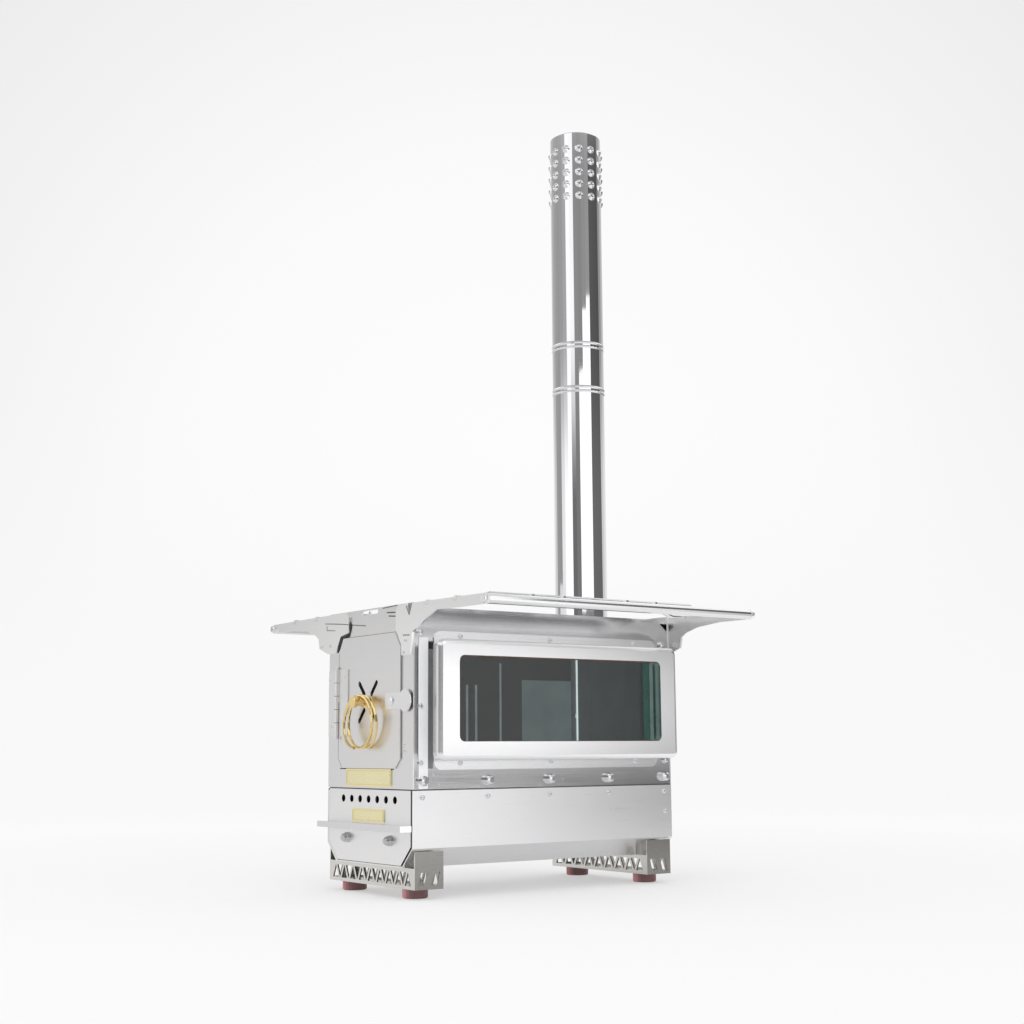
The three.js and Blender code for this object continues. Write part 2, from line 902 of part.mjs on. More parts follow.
function hingeDoorLeaf() {
  const zLow = hingeMiddle + clearance / 2;
  const left = hinge.x + hinge.knuckle + hinge.notch;
  const face = doorFront - hinge.leaf;
  const leaf = block([left, face, hinge.bottom], [left + hinge.doorLeaf, doorFront, hinge.top]);
  const web = block([hinge.x, face, zLow], [left + 1, doorFront, hinge.top]);
  return cut(join(leaf, web, knuckleBarrel(zLow, hinge.top)), hingeBore());
}

function hingePin() {
  const profile = [
    [0, hinge.bottom - hinge.pinReach],
    [hinge.pinHead, hinge.bottom - hinge.pinReach],
    [hinge.pinHead, hinge.bottom],
    [hinge.pin, hinge.bottom],
    [hinge.pin, hinge.top + hinge.pinReach],
    [0, hinge.top + hinge.pinReach],
  ];
  return turnedAlongZ(profile, hinge.x, hinge.y, 12);
}

function damperKnob() {
  const base = -doorFront + clearance; // distances in front of the body's face
  const neck = base + knob.base;
  const head = neck + knob.neckLength;
  const tip = head + knob.head;
  return turnedToFront(
    [
      [0, 0],
      [knob.shaft, 0],
      [knob.shaft, base],
      [knob.radius, base],
      [knob.radius, neck],
      [knob.neck, neck],
      [knob.neck, head],
      [knob.radius, head],
      [knob.radius, tip - knob.chamfer],
      [knob.radius - knob.chamfer, tip],
      [0, tip],
    ],
    0,
    damper.z,
    16,
  );
}

const ringPlane = doorFront - clearance - knob.base - knob.neckLength / 2;
const ringCentre = damper.z + knob.neck + clearance + ring.wire / 2 - ring.radius;

// A split ring: two turns that touch nowhere and splay a little at the bottom.
class SplitRing extends THREE.Curve {
  getPoint(t, target = new THREE.Vector3()) {
    const turn = t * ring.turns;
    const angle = turn * Math.PI * 2; // 0 is the bottom
    const low = (1 + Math.cos(angle)) / 2;
    const pitch = ring.pitchTop + (ring.pitchBottom - ring.pitchTop) * low;
    return target.set(
      -ring.radius * Math.sin(angle),
      ringPlane + (turn - ring.turns / 2) * pitch,
      ringCentre - ring.radius * Math.cos(angle),
    );
  }
}

function ringHandle() {
  return tube(new SplitRing(), ring.wire / 2, ring.sides, ring.steps);
}

// The least gap between stretches of the wire that lie half a turn or more apart along it.
function leastRingGap() {
  const points = new SplitRing().getPoints(ring.steps * 4);
  const halfTurn = points.length / ring.turns / 2;
  let least = Infinity;
  points.forEach((a, i) =>
    points.slice(i + Math.floor(halfTurn)).forEach((b) => {
      least = Math.min(least, a.distanceTo(b) - ring.wire);
    }),
  );
  return least;
}
console.log("least gap of the split ring to itself: " + leastRingGap().toFixed(2) + " mm");

function latchLever() {
  const back = doorFront - clearance;
  const front = back - latch.sheet;
  const half = latch.tongueHeight / 2;
  const tongue = polygon([
    [latch.tongueLeft, latch.z - half + 2],
    [latch.tongueLeft + 2, latch.z - half],
    [latch.paddleX, latch.z - half],
    [latch.paddleX, latch.z + half],
    [latch.tongueLeft + 2, latch.z + half],
    [latch.tongueLeft, latch.z + half - 2],
  ]);
  const paddle = frontPlateSolid(disc(latch.paddleX, latch.z, latch.paddleRadius), front, back, 12);
  const hole = disc(latch.pivotX, latch.z, latch.screwShank + clearance / 2);
  const bore = frontPlateSolid(hole, front - 1, back + 1, 8);
  return cut(join(frontPlateSolid(tongue, front, back), paddle), bore);
}

function latchPivot() {
  const base = -doorFront;
  const under = base + clearance + latch.sheet + clearance / 2;
  return turnedToFront(
    [
      [0, base],
      [latch.screwShank, base],
      [latch.screwShank, under],
      [latch.screwHead, under],
      [latch.screwHead, under + 1.2],
      [latch.screwHead - 1, under + 2],
      [0, under + 2],
    ],
    latch.pivotX,
    latch.z,
    16,
  );
}

function frontLabel(label) {
  return frontPlateSolid(
    roundedRectangle(0, label.z, label.width, label.height, label.radius),
    -label.thickness,
    0,
    3,
  );
}

// ---------------------------------------------------------------- ash drawer

// An outline that lies inside the shell by one gap at its sides and lower edges, and another at its floor.
function drawerOutline(gap, floorGap, top) {
  const side = halfWidth - shell.sheet - gap;
  const floor = body.bottom + shell.sheet + floorGap;
  const slope = halfWidth - body.chamferWidth - body.bottom - (shell.sheet + gap) * Math.SQRT2;
  return [
    [-side, top],
    [-side, side - slope],
    [-floor - slope, floor],
    [floor + slope, floor],
    [side, side - slope],
    [side, top],
  ];
}

function drawerFront() {
  const outline = polygon(drawerOutline(drawer.sideGap, drawer.floorGap, body.seam));
  const plate = frontPlateSolid(outline, 0, body.sheet);
  const holes = [];
  for (let i = 0; i < airHole.count; i++) {
    const x = (i - (airHole.count - 1) / 2) * airHole.pitch;
    holes.push(frontPlateSolid(disc(x, airHole.z, airHole.diameter / 2), -1, body.sheet + 1, 5));
  }
  return cut(plate, ...holes);
}

// The tray is a folded channel: the drawer's front closes one end and its back plate the other.
function drawerTray() {
  const { wall, top } = drawer;
  const gap = drawer.sideGap + drawer.trayStep;
  const front = body.sheet;
  const rear = front + drawer.length - wall;
  const outer = frontPlateSolid(polygon(drawerOutline(gap, clearance, top)), front, rear);
  const inside = frontPlateSolid(
    polygon(drawerOutline(gap + wall, clearance + wall, top + wall)),
    front - 1,
    rear + 1,
  );
  return cut(outer, inside);
}

function drawerBack() {
  const outline = polygon(drawerOutline(drawer.sideGap + drawer.trayStep, clearance, drawer.top));
  const rear = body.sheet + drawer.length;
  return frontPlateSolid(outline, rear - drawer.wall, rear);
}

function drawerPull() {
  const outer = block([-pull.halfLength, -pull.reach, pull.bottom], [pull.halfLength, 0, pull.top]);
  const hollow = block(
    [-pull.halfLength + pull.sheet, -pull.reach + pull.sheet, pull.bottom - 1],
    [pull.halfLength - pull.sheet, -pull.sheet, pull.top - pull.sheet],
  );
  return cut(outer, hollow);
}

function drawerBoltSolid(x) {
  const { radius, reach, z } = drawerBolt;
  return turnedToFront(
    [
      [0, 0],
      [radius, 0],
      [radius, 2.4],
      [radius - 1, 2.8],
      [radius - 1.2, reach - 1.6],
      [radius - 2.6, reach],
      [0, reach],
    ],
    x,
    z,
    16,
  );
}

// ---------------------------------------------------------------- flue

// One section: a tube with beads at its ends, and a spigot below that enters the one under it.
function flueSection(bottom, top, options) {
  const outer = flue.radius;
  const inner = outer - flue.wall;
  const spigotOuter = inner - flue.spigotGap;
  const spigotInner = spigotOuter - flue.wall;
  const bead = outer + flue.bead;
  const edge = 0.8; // from a section's end to its bead
  const profile = [];
  if (options.spigot) {
    profile.push([spigotInner, bottom - flue.spigot]);
    profile.push([spigotOuter, bottom - flue.spigot]);
    profile.push([spigotOuter, bottom]);
  } else {
    profile.push([inner, bottom]);
  }
  profile.push([outer, bottom]);
  if (options.lowBead) {
    profile.push([outer, bottom + edge]);
    profile.push([bead, bottom + edge + flue.beadHeight / 2]);
    profile.push([outer, bottom + edge + flue.beadHeight]);
  }
  if (options.highBead) {
    const low = top - flue.beadHeight - edge;
    profile.push([outer, low]);
    profile.push([bead, low + flue.beadHeight / 2]);
    profile.push([outer, low + flue.beadHeight]);
  }
  if (options.cap) {
    profile.push([outer, top - 1]);
    profile.push([outer - 1, top]);
    profile.push([0, top]);
    profile.push([0, top - flue.wall]);
    profile.push([inner, top - flue.wall - 1]);
  } else {
    profile.push([outer, top]);
    profile.push([inner, top]);
  }
  if (options.spigot) {
    profile.push([inner, bottom + 3]);
    profile.push([spigotInner, bottom]);
    profile.push([spigotInner, bottom - flue.spigot]);
  } else {
    profile.push([inner, bottom]);
  }
  return turnedAlongZ(profile, 0, flue.y, flue.sides);
}

function flueLower() {
  const bottom = body.topPlate + body.sheet + collar.flangeHeight;
  return flueSection(bottom, flueJoint.lower, { highBead: true });
}

function flueMiddle() {
  const ends = { spigot: true, lowBead: true, highBead: true };
  return flueSection(flueJoint.lower, flueJoint.upper, ends);
}

function sparkArrestor() {
  const ends = { spigot: true, lowBead: true, cap: true };
  const section = flueSection(flueJoint.upper, flueJoint.top, ends);
  const holes = [];
  for (let row = 0; row < sparkHole.rows; row++) {
    for (let i = 0; i < sparkHole.perRow / 2; i++) {
      const drill = new THREE.CylinderGeometry(
        sparkHole.diameter / 2,
        sparkHole.diameter / 2,
        flue.radius * 3,
        6,
      );
      drill.rotateX(Math.PI / 2);
      drill.rotateY(Math.PI / 2);
      drill.rotateZ((i / sparkHole.perRow) * Math.PI * 2);
      drill.translate(0, flue.y, flueJoint.top - sparkHole.belowTop - row * sparkHole.rowPitch);
      holes.push(solid(drill));
    }
  }
  return cut(section, ...holes);
}

// ---------------------------------------------------------------- assembly

const stove = new THREE.Group();

function place(group, name, made, material) {
  const mesh = new THREE.Mesh(geometryOf(made), material);
  mesh.name = name;
  group.add(mesh);
}

function placeBothSides(group, name, made, material) {
  place(group, "right_" + name, made, material);
  place(group, "left_" + name, mirroredX(made), material);
}

function subAssembly() {
  const group = new THREE.Group();
  stove.add(group);
  return group;
}

const casing = subAssembly();
place(casing, "lower_shell", lowerShell(), satinSteel);
place(casing, "hearth_plate", hearthPlate(), darkSteel);
place(casing, "front_plate", frontPlate(), satinSteel);
place(casing, "rear_plate", rearPlate(), satinSteel);
placeBothSides(casing, "side_panel", rightSidePanel(), polishedSteel);
place(casing, "top_plate", topPlate(), satinSteel);
place(casing, "flue_collar", flueCollar(), sheetSteel);
place(casing, "smoke_baffle", smokeBaffle(), darkSteel);
place(casing, "name_plate", frontLabel(namePlate), brass);
for (let i = 0; i < capBolt.count; i++) {
  const bolt = capBoltSolid(capBolt.first + i * capBoltPitch);
  placeBothSides(casing, "cap_bolt_" + (i + 1), bolt, mirrorSteel);
}

const windows = subAssembly();
placeBothSides(windows, "window_tray", windowTray(), polishedSteel);
placeBothSides(windows, "window_glass", windowGlass(), ceramicGlass);
placeBothSides(windows, "window_bezel", windowBezel(), satinSteel);

const racks = subAssembly();
place(racks, "right_front_wing", latchSideWing(), sheetSteel);
place(racks, "left_front_wing", mirroredX(rightWing(-wing.sheet, plainHeel)), sheetSteel);
placeBothSides(racks, "rear_wing", rightWing(body.length, plainHeel), sheetSteel);
placeBothSides(racks, "rack_rod", rightRod(), mirrorSteel);
placeBothSides(racks, "rack_grate", rightGrate(), mirrorSteel);

const stand = subAssembly();
place(stand, "front_leg", frontLeg(), sheetSteel);
place(stand, "rear_leg", rearLeg(), sheetSteel);
for (const [end, y] of [["front", foot.inset], ["rear", body.length - foot.inset]]) {
  placeBothSides(stand, end + "_foot", footPuck(foot.halfTrack, y), clayPuck);
}

const doorGroup = subAssembly();
place(doorGroup, "hinge_frame_leaf", hingeFrameLeaf(), satinSteel);
place(doorGroup, "hinge_pin", hingePin(), mirrorSteel);
place(doorGroup, "hinge_door_leaf", hingeDoorLeaf(), satinSteel);
place(doorGroup, "door_panel", doorPanel(), satinSteel);
place(doorGroup, "latch_pivot", latchPivot(), mirrorSteel);
place(doorGroup, "latch_lever", latchLever(), satinSteel);
place(doorGroup, "damper_plate", damperPlate(), darkSteel);
place(doorGroup, "damper_knob", damperKnob(), brass);
place(doorGroup, "ring_handle", ringHandle(), brass);

const ashDrawer = subAssembly();
place(ashDrawer, "drawer_front", drawerFront(), satinSteel);
place(ashDrawer, "drawer_tray", drawerTray(), sheetSteel);
place(ashDrawer, "drawer_back", drawerBack(), sheetSteel);
place(ashDrawer, "drawer_pull", drawerPull(), satinSteel);
place(ashDrawer, "drawer_badge", frontLabel(badge), brass);
place(ashDrawer, "right_drawer_bolt", drawerBoltSolid(drawerBolt.x), mirrorSteel);
place(ashDrawer, "left_drawer_bolt", drawerBoltSolid(-drawerBolt.x), mirrorSteel);

const chimney = subAssembly();
place(chimney, "flue_pipe_lower", flueLower(), mirrorSteel);
place(chimney, "flue_pipe_middle", flueMiddle(), mirrorSteel);
place(chimney, "spark_arrestor", sparkArrestor(), mirrorSteel);

// The knob's tip is the foremost point, and the rack screws behind are the rearmost.
const frontReach = -doorFront + clearance + knob.base + knob.neckLength + knob.head;
const rearReach = body.length + wing.sheet + rod.screwReach;
stove.position.y = (frontReach - rearReach) / 2;

export default stove;
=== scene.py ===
"""Looks of the tent wood stove: camera, studio, finishes, small fasteners and thin trim.

Metres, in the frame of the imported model: +Z up, the door faces -Y, and the window that
the camera sees is on the +X side. Outlines, profiles and places of the added pieces are
in millimetres, and MM turns them into metres when a mesh is made.
"""
import math
import bmesh
import bpy
from mathutils import Matrix, Vector


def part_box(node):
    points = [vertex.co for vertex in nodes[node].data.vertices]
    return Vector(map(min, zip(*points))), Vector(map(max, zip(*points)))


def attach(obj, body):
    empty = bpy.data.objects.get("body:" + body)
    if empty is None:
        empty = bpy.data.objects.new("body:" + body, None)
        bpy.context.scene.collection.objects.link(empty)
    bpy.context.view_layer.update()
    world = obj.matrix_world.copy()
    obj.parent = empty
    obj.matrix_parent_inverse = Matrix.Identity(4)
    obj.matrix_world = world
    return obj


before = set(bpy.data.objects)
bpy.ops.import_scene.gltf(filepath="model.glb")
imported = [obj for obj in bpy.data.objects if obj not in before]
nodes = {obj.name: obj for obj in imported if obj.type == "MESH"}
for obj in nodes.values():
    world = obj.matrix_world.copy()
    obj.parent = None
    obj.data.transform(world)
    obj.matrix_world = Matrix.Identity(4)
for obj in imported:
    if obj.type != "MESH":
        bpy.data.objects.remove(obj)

scene = bpy.context.scene
MM = 0.001
UP = (0.0, 0.0, 1.0)

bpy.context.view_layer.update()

# ---------------------------------------------------------------- camera

CAMERA_PLACE = Vector((1.37331, -0.95252, 0.14472))
CAMERA_AZIMUTH = math.radians(54.617)  # where it looks, from +Y towards -X
CAMERA_PITCH = math.radians(8.872)  # upwards
CAMERA_ROLL = math.radians(-0.369)
CAMERA_LENS = 53.365  # mm
CAMERA_SENSOR = 36.0  # mm, the side of a square picture
CAMERA_CLIP = (0.05, 60.0)


def make_camera():
    data = bpy.data.cameras.new("camera")
    data.lens = CAMERA_LENS
    data.sensor_width = CAMERA_SENSOR
    data.clip_start, data.clip_end = CAMERA_CLIP
    level = Vector((-math.sin(CAMERA_AZIMUTH), math.cos(CAMERA_AZIMUTH), 0.0))
    side = Vector((math.cos(CAMERA_AZIMUTH), math.sin(CAMERA_AZIMUTH), 0.0))
    up = Vector(UP)
    forward = level * math.cos(CAMERA_PITCH) + up * math.sin(CAMERA_PITCH)
    top = up * math.cos(CAMERA_PITCH) - level * math.sin(CAMERA_PITCH)
    right = side * math.cos(CAMERA_ROLL) + top * math.sin(CAMERA_ROLL)
    top = top * math.cos(CAMERA_ROLL) - side * math.sin(CAMERA_ROLL)
    camera = bpy.data.objects.new("camera", data)
    turn = Matrix((right, top, -forward)).transposed().to_4x4()
    camera.matrix_world = Matrix.Translation(CAMERA_PLACE) @ turn
    scene.collection.objects.link(camera)
    scene.camera = camera


make_camera()

# ---------------------------------------------------------------- helpers

RANGE_ENDS = slice(1, 5)  # From Min, From Max, To Min and To Max of a Map Range node
# The colour sockets of a Mix node, by number, because others of it have the same names.
MIX_FIRST, MIX_SECOND, MIX_RESULT = 6, 7, 2
RAMP_MIDDLE = 0.5  # where a new stop of a ramp starts, before it is placed
SEED_SKEW = 0.37  # a seed moves a noise less along y than along x and z


def grey(level):
    return (level, level, level)


def rectangle(low, high):
    """The corners of a rectangle between its lowest and its highest one."""
    return [(low[0], low[1]), (high[0], low[1]), (high[0], high[1]), (low[0], high[1])]


class Graph:
    """Short names for building one node tree."""

    def __init__(self, tree):
        self.tree = tree
        tree.nodes.clear()

    def node(self, kind, **settings):
        made = self.tree.nodes.new(kind)
        for name, value in settings.items():
            setattr(made, name, value)
        return made

    def put(self, socket, value):
        """Link an output to the socket, or set a plain value on it."""
        if isinstance(value, bpy.types.NodeSocket):
            self.tree.links.new(value, socket)
        else:
            socket.default_value = value

    def finish(self, surface, kind="ShaderNodeOutputMaterial"):
        """Link the last shader to the output of the tree."""
        self.put(self.node(kind).inputs["Surface"], surface)

    def place(self):
        return self.node("ShaderNodeTexCoord").outputs["Object"]

    def split(self, vector):
        """The outputs X, Y and Z of a vector."""
        made = self.node("ShaderNodeSeparateXYZ")
        self.put(made.inputs[0], vector)
        return made.outputs

    def facing_x(self):
        """How far a face is turned towards +X, from -1 to 1."""
        return self.split(self.node("ShaderNodeTexCoord").outputs["Normal"])["X"]

    def dot(self, vector, direction):
        """How far a vector reaches along a direction."""
        made = self.node("ShaderNodeVectorMath", operation="DOT_PRODUCT")
        self.put(made.inputs[0], vector)
        made.inputs[1].default_value = direction
        return made.outputs["Value"]

    def math(self, operation, first, second=0.0, clamp=False):
        made = self.node("ShaderNodeMath", operation=operation, use_clamp=clamp)
        self.put(made.inputs[0], first)
        self.put(made.inputs[1], second)
        return made.outputs[0]

    def any_of(self, first, *others):
        """1 where at least one of some values of 0 or 1 is 1."""
        for other in others:
            first = self.math("ADD", first, other, clamp=True)
        return first

    def spread(self, value, low, high, to_low=0.0, to_high=1.0, smooth=False):
        """Map a range onto another one, held at its ends."""
        made = self.node("ShaderNodeMapRange", clamp=True)
        if smooth:
            made.interpolation_type = "SMOOTHSTEP"
        for socket, number in zip(made.inputs[RANGE_ENDS], (low, high, to_low, to_high)):
            socket.default_value = number
        self.put(made.inputs[0], value)
        return made.outputs[0]

    def ramp(self, value, stops):
        """A ramp of greys; each stop is (place, brightness)."""
        made = self.node("ShaderNodeValToRGB")
        elements = made.color_ramp.elements
        while len(elements) < len(stops):
            elements.new(RAMP_MIDDLE)
        for element, (place, _) in zip(elements, stops):
            element.position = place
        for element, (_, level) in zip(elements, stops):
            element.color = (*grey(level), 1.0)
        self.put(made.inputs[0], value)
        return made.outputs[0]

    def mix(self, share, first, second, blend="MIX"):
        """Mix two colours; each is an output or a plain (red, green, blue)."""
        made = self.node("ShaderNodeMix", data_type="RGBA", blend_type=blend)
        self.put(made.inputs[0], share)
        for number, colour in ((MIX_FIRST, first), (MIX_SECOND, second)):
            if isinstance(colour, tuple):
                colour = (*colour, 1.0)
            self.put(made.inputs[number], colour)
        return made.outputs[MIX_RESULT]

    def noise(self, place, scale, detail, seed, stretch=(1.0, 1.0, 1.0)):
        """A noise of so many lumps per metre; stretch multiplies it along each axis."""
        mapping = self.node("ShaderNodeMapping")
        self.put(mapping.inputs["Vector"], place)
        mapping.inputs["Location"].default_value = (seed, seed * SEED_SKEW, -seed)
        mapping.inputs["Scale"].default_value = stretch
        made = self.node("ShaderNodeTexNoise")
        self.put(made.inputs["Vector"], mapping.outputs[0])
        made.inputs["Scale"].default_value = scale
        made.inputs["Detail"].default_value = detail
        return made.outputs[0]

    def bump(self, height, depth):
        """A Bump node whose depth is in millimetres."""
        made = self.node("ShaderNodeBump")
        made.inputs["Strength"].default_value = 1.0
        made.inputs["Distance"].default_value = depth * MM
        self.put(made.inputs["Height"], height)
        return made


def new_material(name):
    """A material and the graph of its nodes, which is still empty."""
    material = bpy.data.materials.new(name)
    material.use_nodes = True
    return material, Graph(material.node_tree)


# ---------------------------------------------------------------- studio

PHOTO_SIDE = math.degrees(CAMERA_AZIMUTH) - 90.0  # compass direction from the stove to the camera

# What polished metal sees around the horizon: (degrees to the right of the camera as the
# stove sees it, brightness). Bright entries are sheets of light, dark ones the open room.
ROOM_LOW = [
    (-180, 0.92),
    (-138, 0.84),
    (-128, 0.36),
    (-86, 0.32),
    (-78, 1.15),
    (-41, 1.20),
    (-35, 0.20),
    (-22, 0.15),
    (0, 0.24),
    (50, 0.22),
    (60, 0.16),
    (104, 0.15),
    (112, 0.50),
    (124, 0.80),
    (180, 0.92),
]
ROOM_HIGH = [
    (-180, 0.80),
    (-128, 0.40),
    (-90, 0.34),
    (-62, 0.42),
    (-48, 0.50),
    (-45, 1.15),
    (-26, 1.15),
    (-20, 0.48),
    (-4, 0.24),
    (20, 0.30),
    (50, 0.34),
    (60, 0.11),
    (108, 0.09),
    (124, 0.42),
    (180, 0.80),
]
ROOM_CHANGE = (9.0, 16.0)  # degrees of elevation over which low turns into high
CEILING = 1.15
CEILING_CHANGE = (21.0, 32.0)
ZENITH = 0.5
ZENITH_CHANGE = (40.0, 62.0)
DULL_ROOM = 0.9  # what surfaces without a shine see, all round
# Brightness of the backdrop from the middle of the picture outwards, as shares of the reach.
BACKDROP_REACH = math.radians(30.0)
BACKDROP_TONES = [(0.0, 0.99), (0.45, 0.955), (0.8, 0.86), (1.0, 0.81)]
HORIZON = 0.945  # brightness where the floor and the backdrop meet
HORIZON_BLEND = 14.0  # degrees


def ring_of(angles):
    """Compass angles in degrees as places on a ramp."""
    return [((angle + 180.0) / 360.0, level) for angle, level in angles]


def make_world():
    """What shiny metal, dull surfaces and the camera see all round the stove."""
    world = bpy.data.worlds.new("studio")
    scene.world = world
    world.use_nodes = True
    world.cycles.sampling_method = "NONE"
    g = Graph(world.node_tree)
    turned = g.node("ShaderNodeVectorRotate", rotation_type="Z_AXIS")
    g.put(turned.inputs["Vector"], g.node("ShaderNodeTexCoord").outputs["Generated"])
    turned.inputs["Angle"].default_value = -math.radians(PHOTO_SIDE)
    direction = turned.outputs[0]
    parts = g.split(direction)
    compass = g.spread(g.math("ARCTAN2", parts["Y"], parts["X"]), -math.pi, math.pi)
    elevation = g.math("MULTIPLY", g.math("ARCSINE", parts["Z"]), math.degrees(1.0))
    low = g.ramp(compass, ring_of(ROOM_LOW))
    high = g.ramp(compass, ring_of(ROOM_HIGH))
    room = g.mix(g.spread(elevation, *ROOM_CHANGE, smooth=True), low, high)
    room = g.mix(g.spread(elevation, *CEILING_CHANGE, smooth=True), room, grey(CEILING))
    room = g.mix(g.spread(elevation, *ZENITH_CHANGE, smooth=True), room, grey(ZENITH))

    # The backdrop as the camera sees it is a touch darker away from the middle of the picture.
    middle = (-math.cos(CAMERA_PITCH), 0.0, math.sin(CAMERA_PITCH))
    away = g.math("ARCCOSINE", g.dot(direction, middle))
    backdrop = g.ramp(g.spread(away, 0.0, BACKDROP_REACH), BACKDROP_TONES)
    above = g.spread(elevation, 0.0, HORIZON_BLEND, smooth=True)
    backdrop = g.mix(above, grey(HORIZON), backdrop)
    rays = g.node("ShaderNodeLightPath").outputs
    seen = g.any_of(rays["Is Camera Ray"], rays["Is Transmission Ray"])
    shade = g.mix(rays["Is Glossy Ray"], grey(DULL_ROOM), room)
    background = g.node("ShaderNodeBackground")
    g.put(background.inputs["Color"], g.mix(seen, shade, backdrop))
    g.finish(background.outputs[0], "ShaderNodeOutputWorld")


FLOOR_RADIUS = 7.0
FLOOR_CORNERS = 96
FLOOR_DROP = 0.0004  # keeps the paper clear of the undersides of the feet
FLOOR_GREY = 0.86
# Brightness over the distance from the stove, as shares of the reach in metres.
FLOOR_REACH = 6.0
FLOOR_TONES = [(0.0, 1.0), (0.08, 0.99), (0.2, 0.965), (0.4, HORIZON), (1.0, HORIZON)]
# How much of what is seen of the floor is that tone and not its lit paper, near and far.
TONE_CHANGE = (0.35, 1.5)  # metres
TONE_SHARES = (0.4, 1.0)
# Painted shade on the floor, seen only by metal: it darkens beyond the window side, where
# the light falls off, and lies in soft shade near the stove and on the other sides.
FLOOR_SHADE_DIRECTION = (0.35, 0.937, 0.0)
NEAR_SHADE_RANGE = (0.05, 0.5)  # metres
NEAR_SHADE = 0.70
FAR_SHADE_RANGE = (0.72, 1.35)
FAR_SHADE = 0.36


def make_floor():
    """A pale disc that fades into the backdrop, so that no horizon shows."""
    shape = bmesh.new()
    bmesh.ops.create_circle(shape, cap_ends=True, segments=FLOOR_CORNERS, radius=FLOOR_RADIUS)
    data = bpy.data.meshes.new("floor")
    shape.to_mesh(data)
    shape.free()
    floor = bpy.data.objects.new("floor", data)
    floor.location.z = -FLOOR_DROP
    scene.collection.objects.link(floor)
    material, g = new_material("floor_paper")
    place = g.place()
    length = g.node("ShaderNodeVectorMath", operation="LENGTH")
    g.put(length.inputs[0], place)
    distance = length.outputs["Value"]
    rays = g.node("ShaderNodeLightPath").outputs
    seen = g.any_of(rays["Is Camera Ray"], rays["Is Glossy Ray"], rays["Is Transmission Ray"])
    lit = g.node("ShaderNodeBsdfDiffuse")
    lit.inputs["Color"].default_value = (*grey(FLOOR_GREY), 1.0)
    pale = g.ramp(g.spread(distance, 0.0, FLOOR_REACH), FLOOR_TONES)
    share = g.spread(distance, *TONE_CHANGE, *TONE_SHARES, smooth=True)
    # Painted shade, only for reflections: darker far beyond the window side and near the stove
    # elsewhere.
    across = g.dot(place, FLOOR_SHADE_DIRECTION)
    far_shade = g.spread(across, *FAR_SHADE_RANGE, 1.0, FAR_SHADE, smooth=True)
    near_shade = g.spread(across, *NEAR_SHADE_RANGE, NEAR_SHADE, 1.0, smooth=True)
    painted_floor_shade = g.math("MULTIPLY", near_shade, far_shade)
    dimmed = g.mix(rays["Is Glossy Ray"], grey(1.0), painted_floor_shade)
    tone = g.node("ShaderNodeEmission")
    g.put(tone.inputs["Color"], g.mix(1.0, pale, dimmed, blend="MULTIPLY"))
    blend = g.node("ShaderNodeMixShader")
    g.put(blend.inputs[0], g.math("MULTIPLY", share, seen))
    g.put(blend.inputs[1], lit.outputs[0])
    g.put(blend.inputs[2], tone.outputs[0])
    g.finish(blend.outputs[0])
    data.materials.append(material)


# Sheets of light beside the camera, out of its sight, that only shiny metal shows.
# The ones of the window and the shell fade towards the rear.
CARD_X = 0.75
REAR_FADE = (0.34, 0.86)  # metres along y
SHELL_FADE = (0.22, 0.74)
PIPE_CARD_YZ = [
    (-0.36, 0.37),
    (0.315, 0.37),
    (0.315, 0.90),
    (0.0, 0.865),
    (-0.205, 0.80),
    (-0.36, 0.685),
]
WINDOW_CARD_YZ = rectangle((0.05, 0.125), (1.1, 0.316))
SHELL_CARD_YZ = rectangle((0.05, 0.0), (1.1, 0.074))
# Each is (name, outline, brightness at the front and at the rear, where it fades).
SIDE_CARDS = [
    ("pipe_card", PIPE_CARD_YZ, 1.25, 1.25, REAR_FADE),
    ("window_card", WINDOW_CARD_YZ, 1.3, 0.52, REAR_FADE),
    ("shell_card", SHELL_CARD_YZ, 1.62, 0.0, SHELL_FADE),
]
DOOR_CARD_Y = -0.8
DOOR_CARD_XZ = rectangle((-1.45, 0.0), (-0.42, 0.46))
DOOR_CARD_LIGHT = 0.82


def make_card(name, corners, front_light, rear_light, fade_range):
    """A sheet of light whose brightness goes from one to the other along y."""
    data = bpy.data.meshes.new(name)
    data.from_pydata(corners, [], [tuple(range(len(corners)))])
    card = bpy.data.objects.new(name, data)
    scene.collection.objects.link(card)
    material, g = new_material(name + "_glow")
    glow = g.node("ShaderNodeEmission")
    along = g.split(g.place())["Y"]
    light = g.spread(along, *fade_range, front_light, rear_light, smooth=True)
    g.put(glow.inputs["Strength"], light)
    g.finish(glow.outputs[0])
    material.cycles.emission_sampling = "NONE"
    data.materials.append(material)
    card.visible_camera = False
    card.visible_diffuse = False
    card.visible_transmission = False
    card.visible_shadow = False


def make_cards():
    for name, outline, front_light, rear_light, fade_range in SIDE_CARDS:
        corners = [(CARD_X, y, z) for y, z in outline]
        make_card(name, corners, front_light, rear_light, fade_range)
    corners = [(x, DOOR_CARD_Y, z) for x, z in DOOR_CARD_XZ]
    make_card("door_card", corners, DOOR_CARD_LIGHT, DOOR_CARD_LIGHT, REAR_FADE)


SOFTBOX_PLACE = (0.5, -0.6, 2.4)
SOFTBOX_TARGET = (0.0, 0.0, 0.1)
SOFTBOX_SIDE = 1.8
SOFTBOX_POWER = 14.0  # watts


def make_softbox():
    data = bpy.data.lights.new("ceiling_softbox", "AREA")
    data.shape = "RECTANGLE"
    data.size = data.size_y = SOFTBOX_SIDE
    data.energy = SOFTBOX_POWER
    light = bpy.data.objects.new("ceiling_softbox", data)
    aim = (Vector(SOFTBOX_TARGET) - Vector(SOFTBOX_PLACE)).to_track_quat("-Z", "Y")
    light.matrix_world = Matrix.Translation(SOFTBOX_PLACE) @ aim.to_matrix().to_4x4()
    light.visible_glossy = False
    light.visible_camera = False
    scene.collection.objects.link(light)


make_world()
make_floor()
make_cards()
make_softbox()

# ---------------------------------------------------------------- finishes

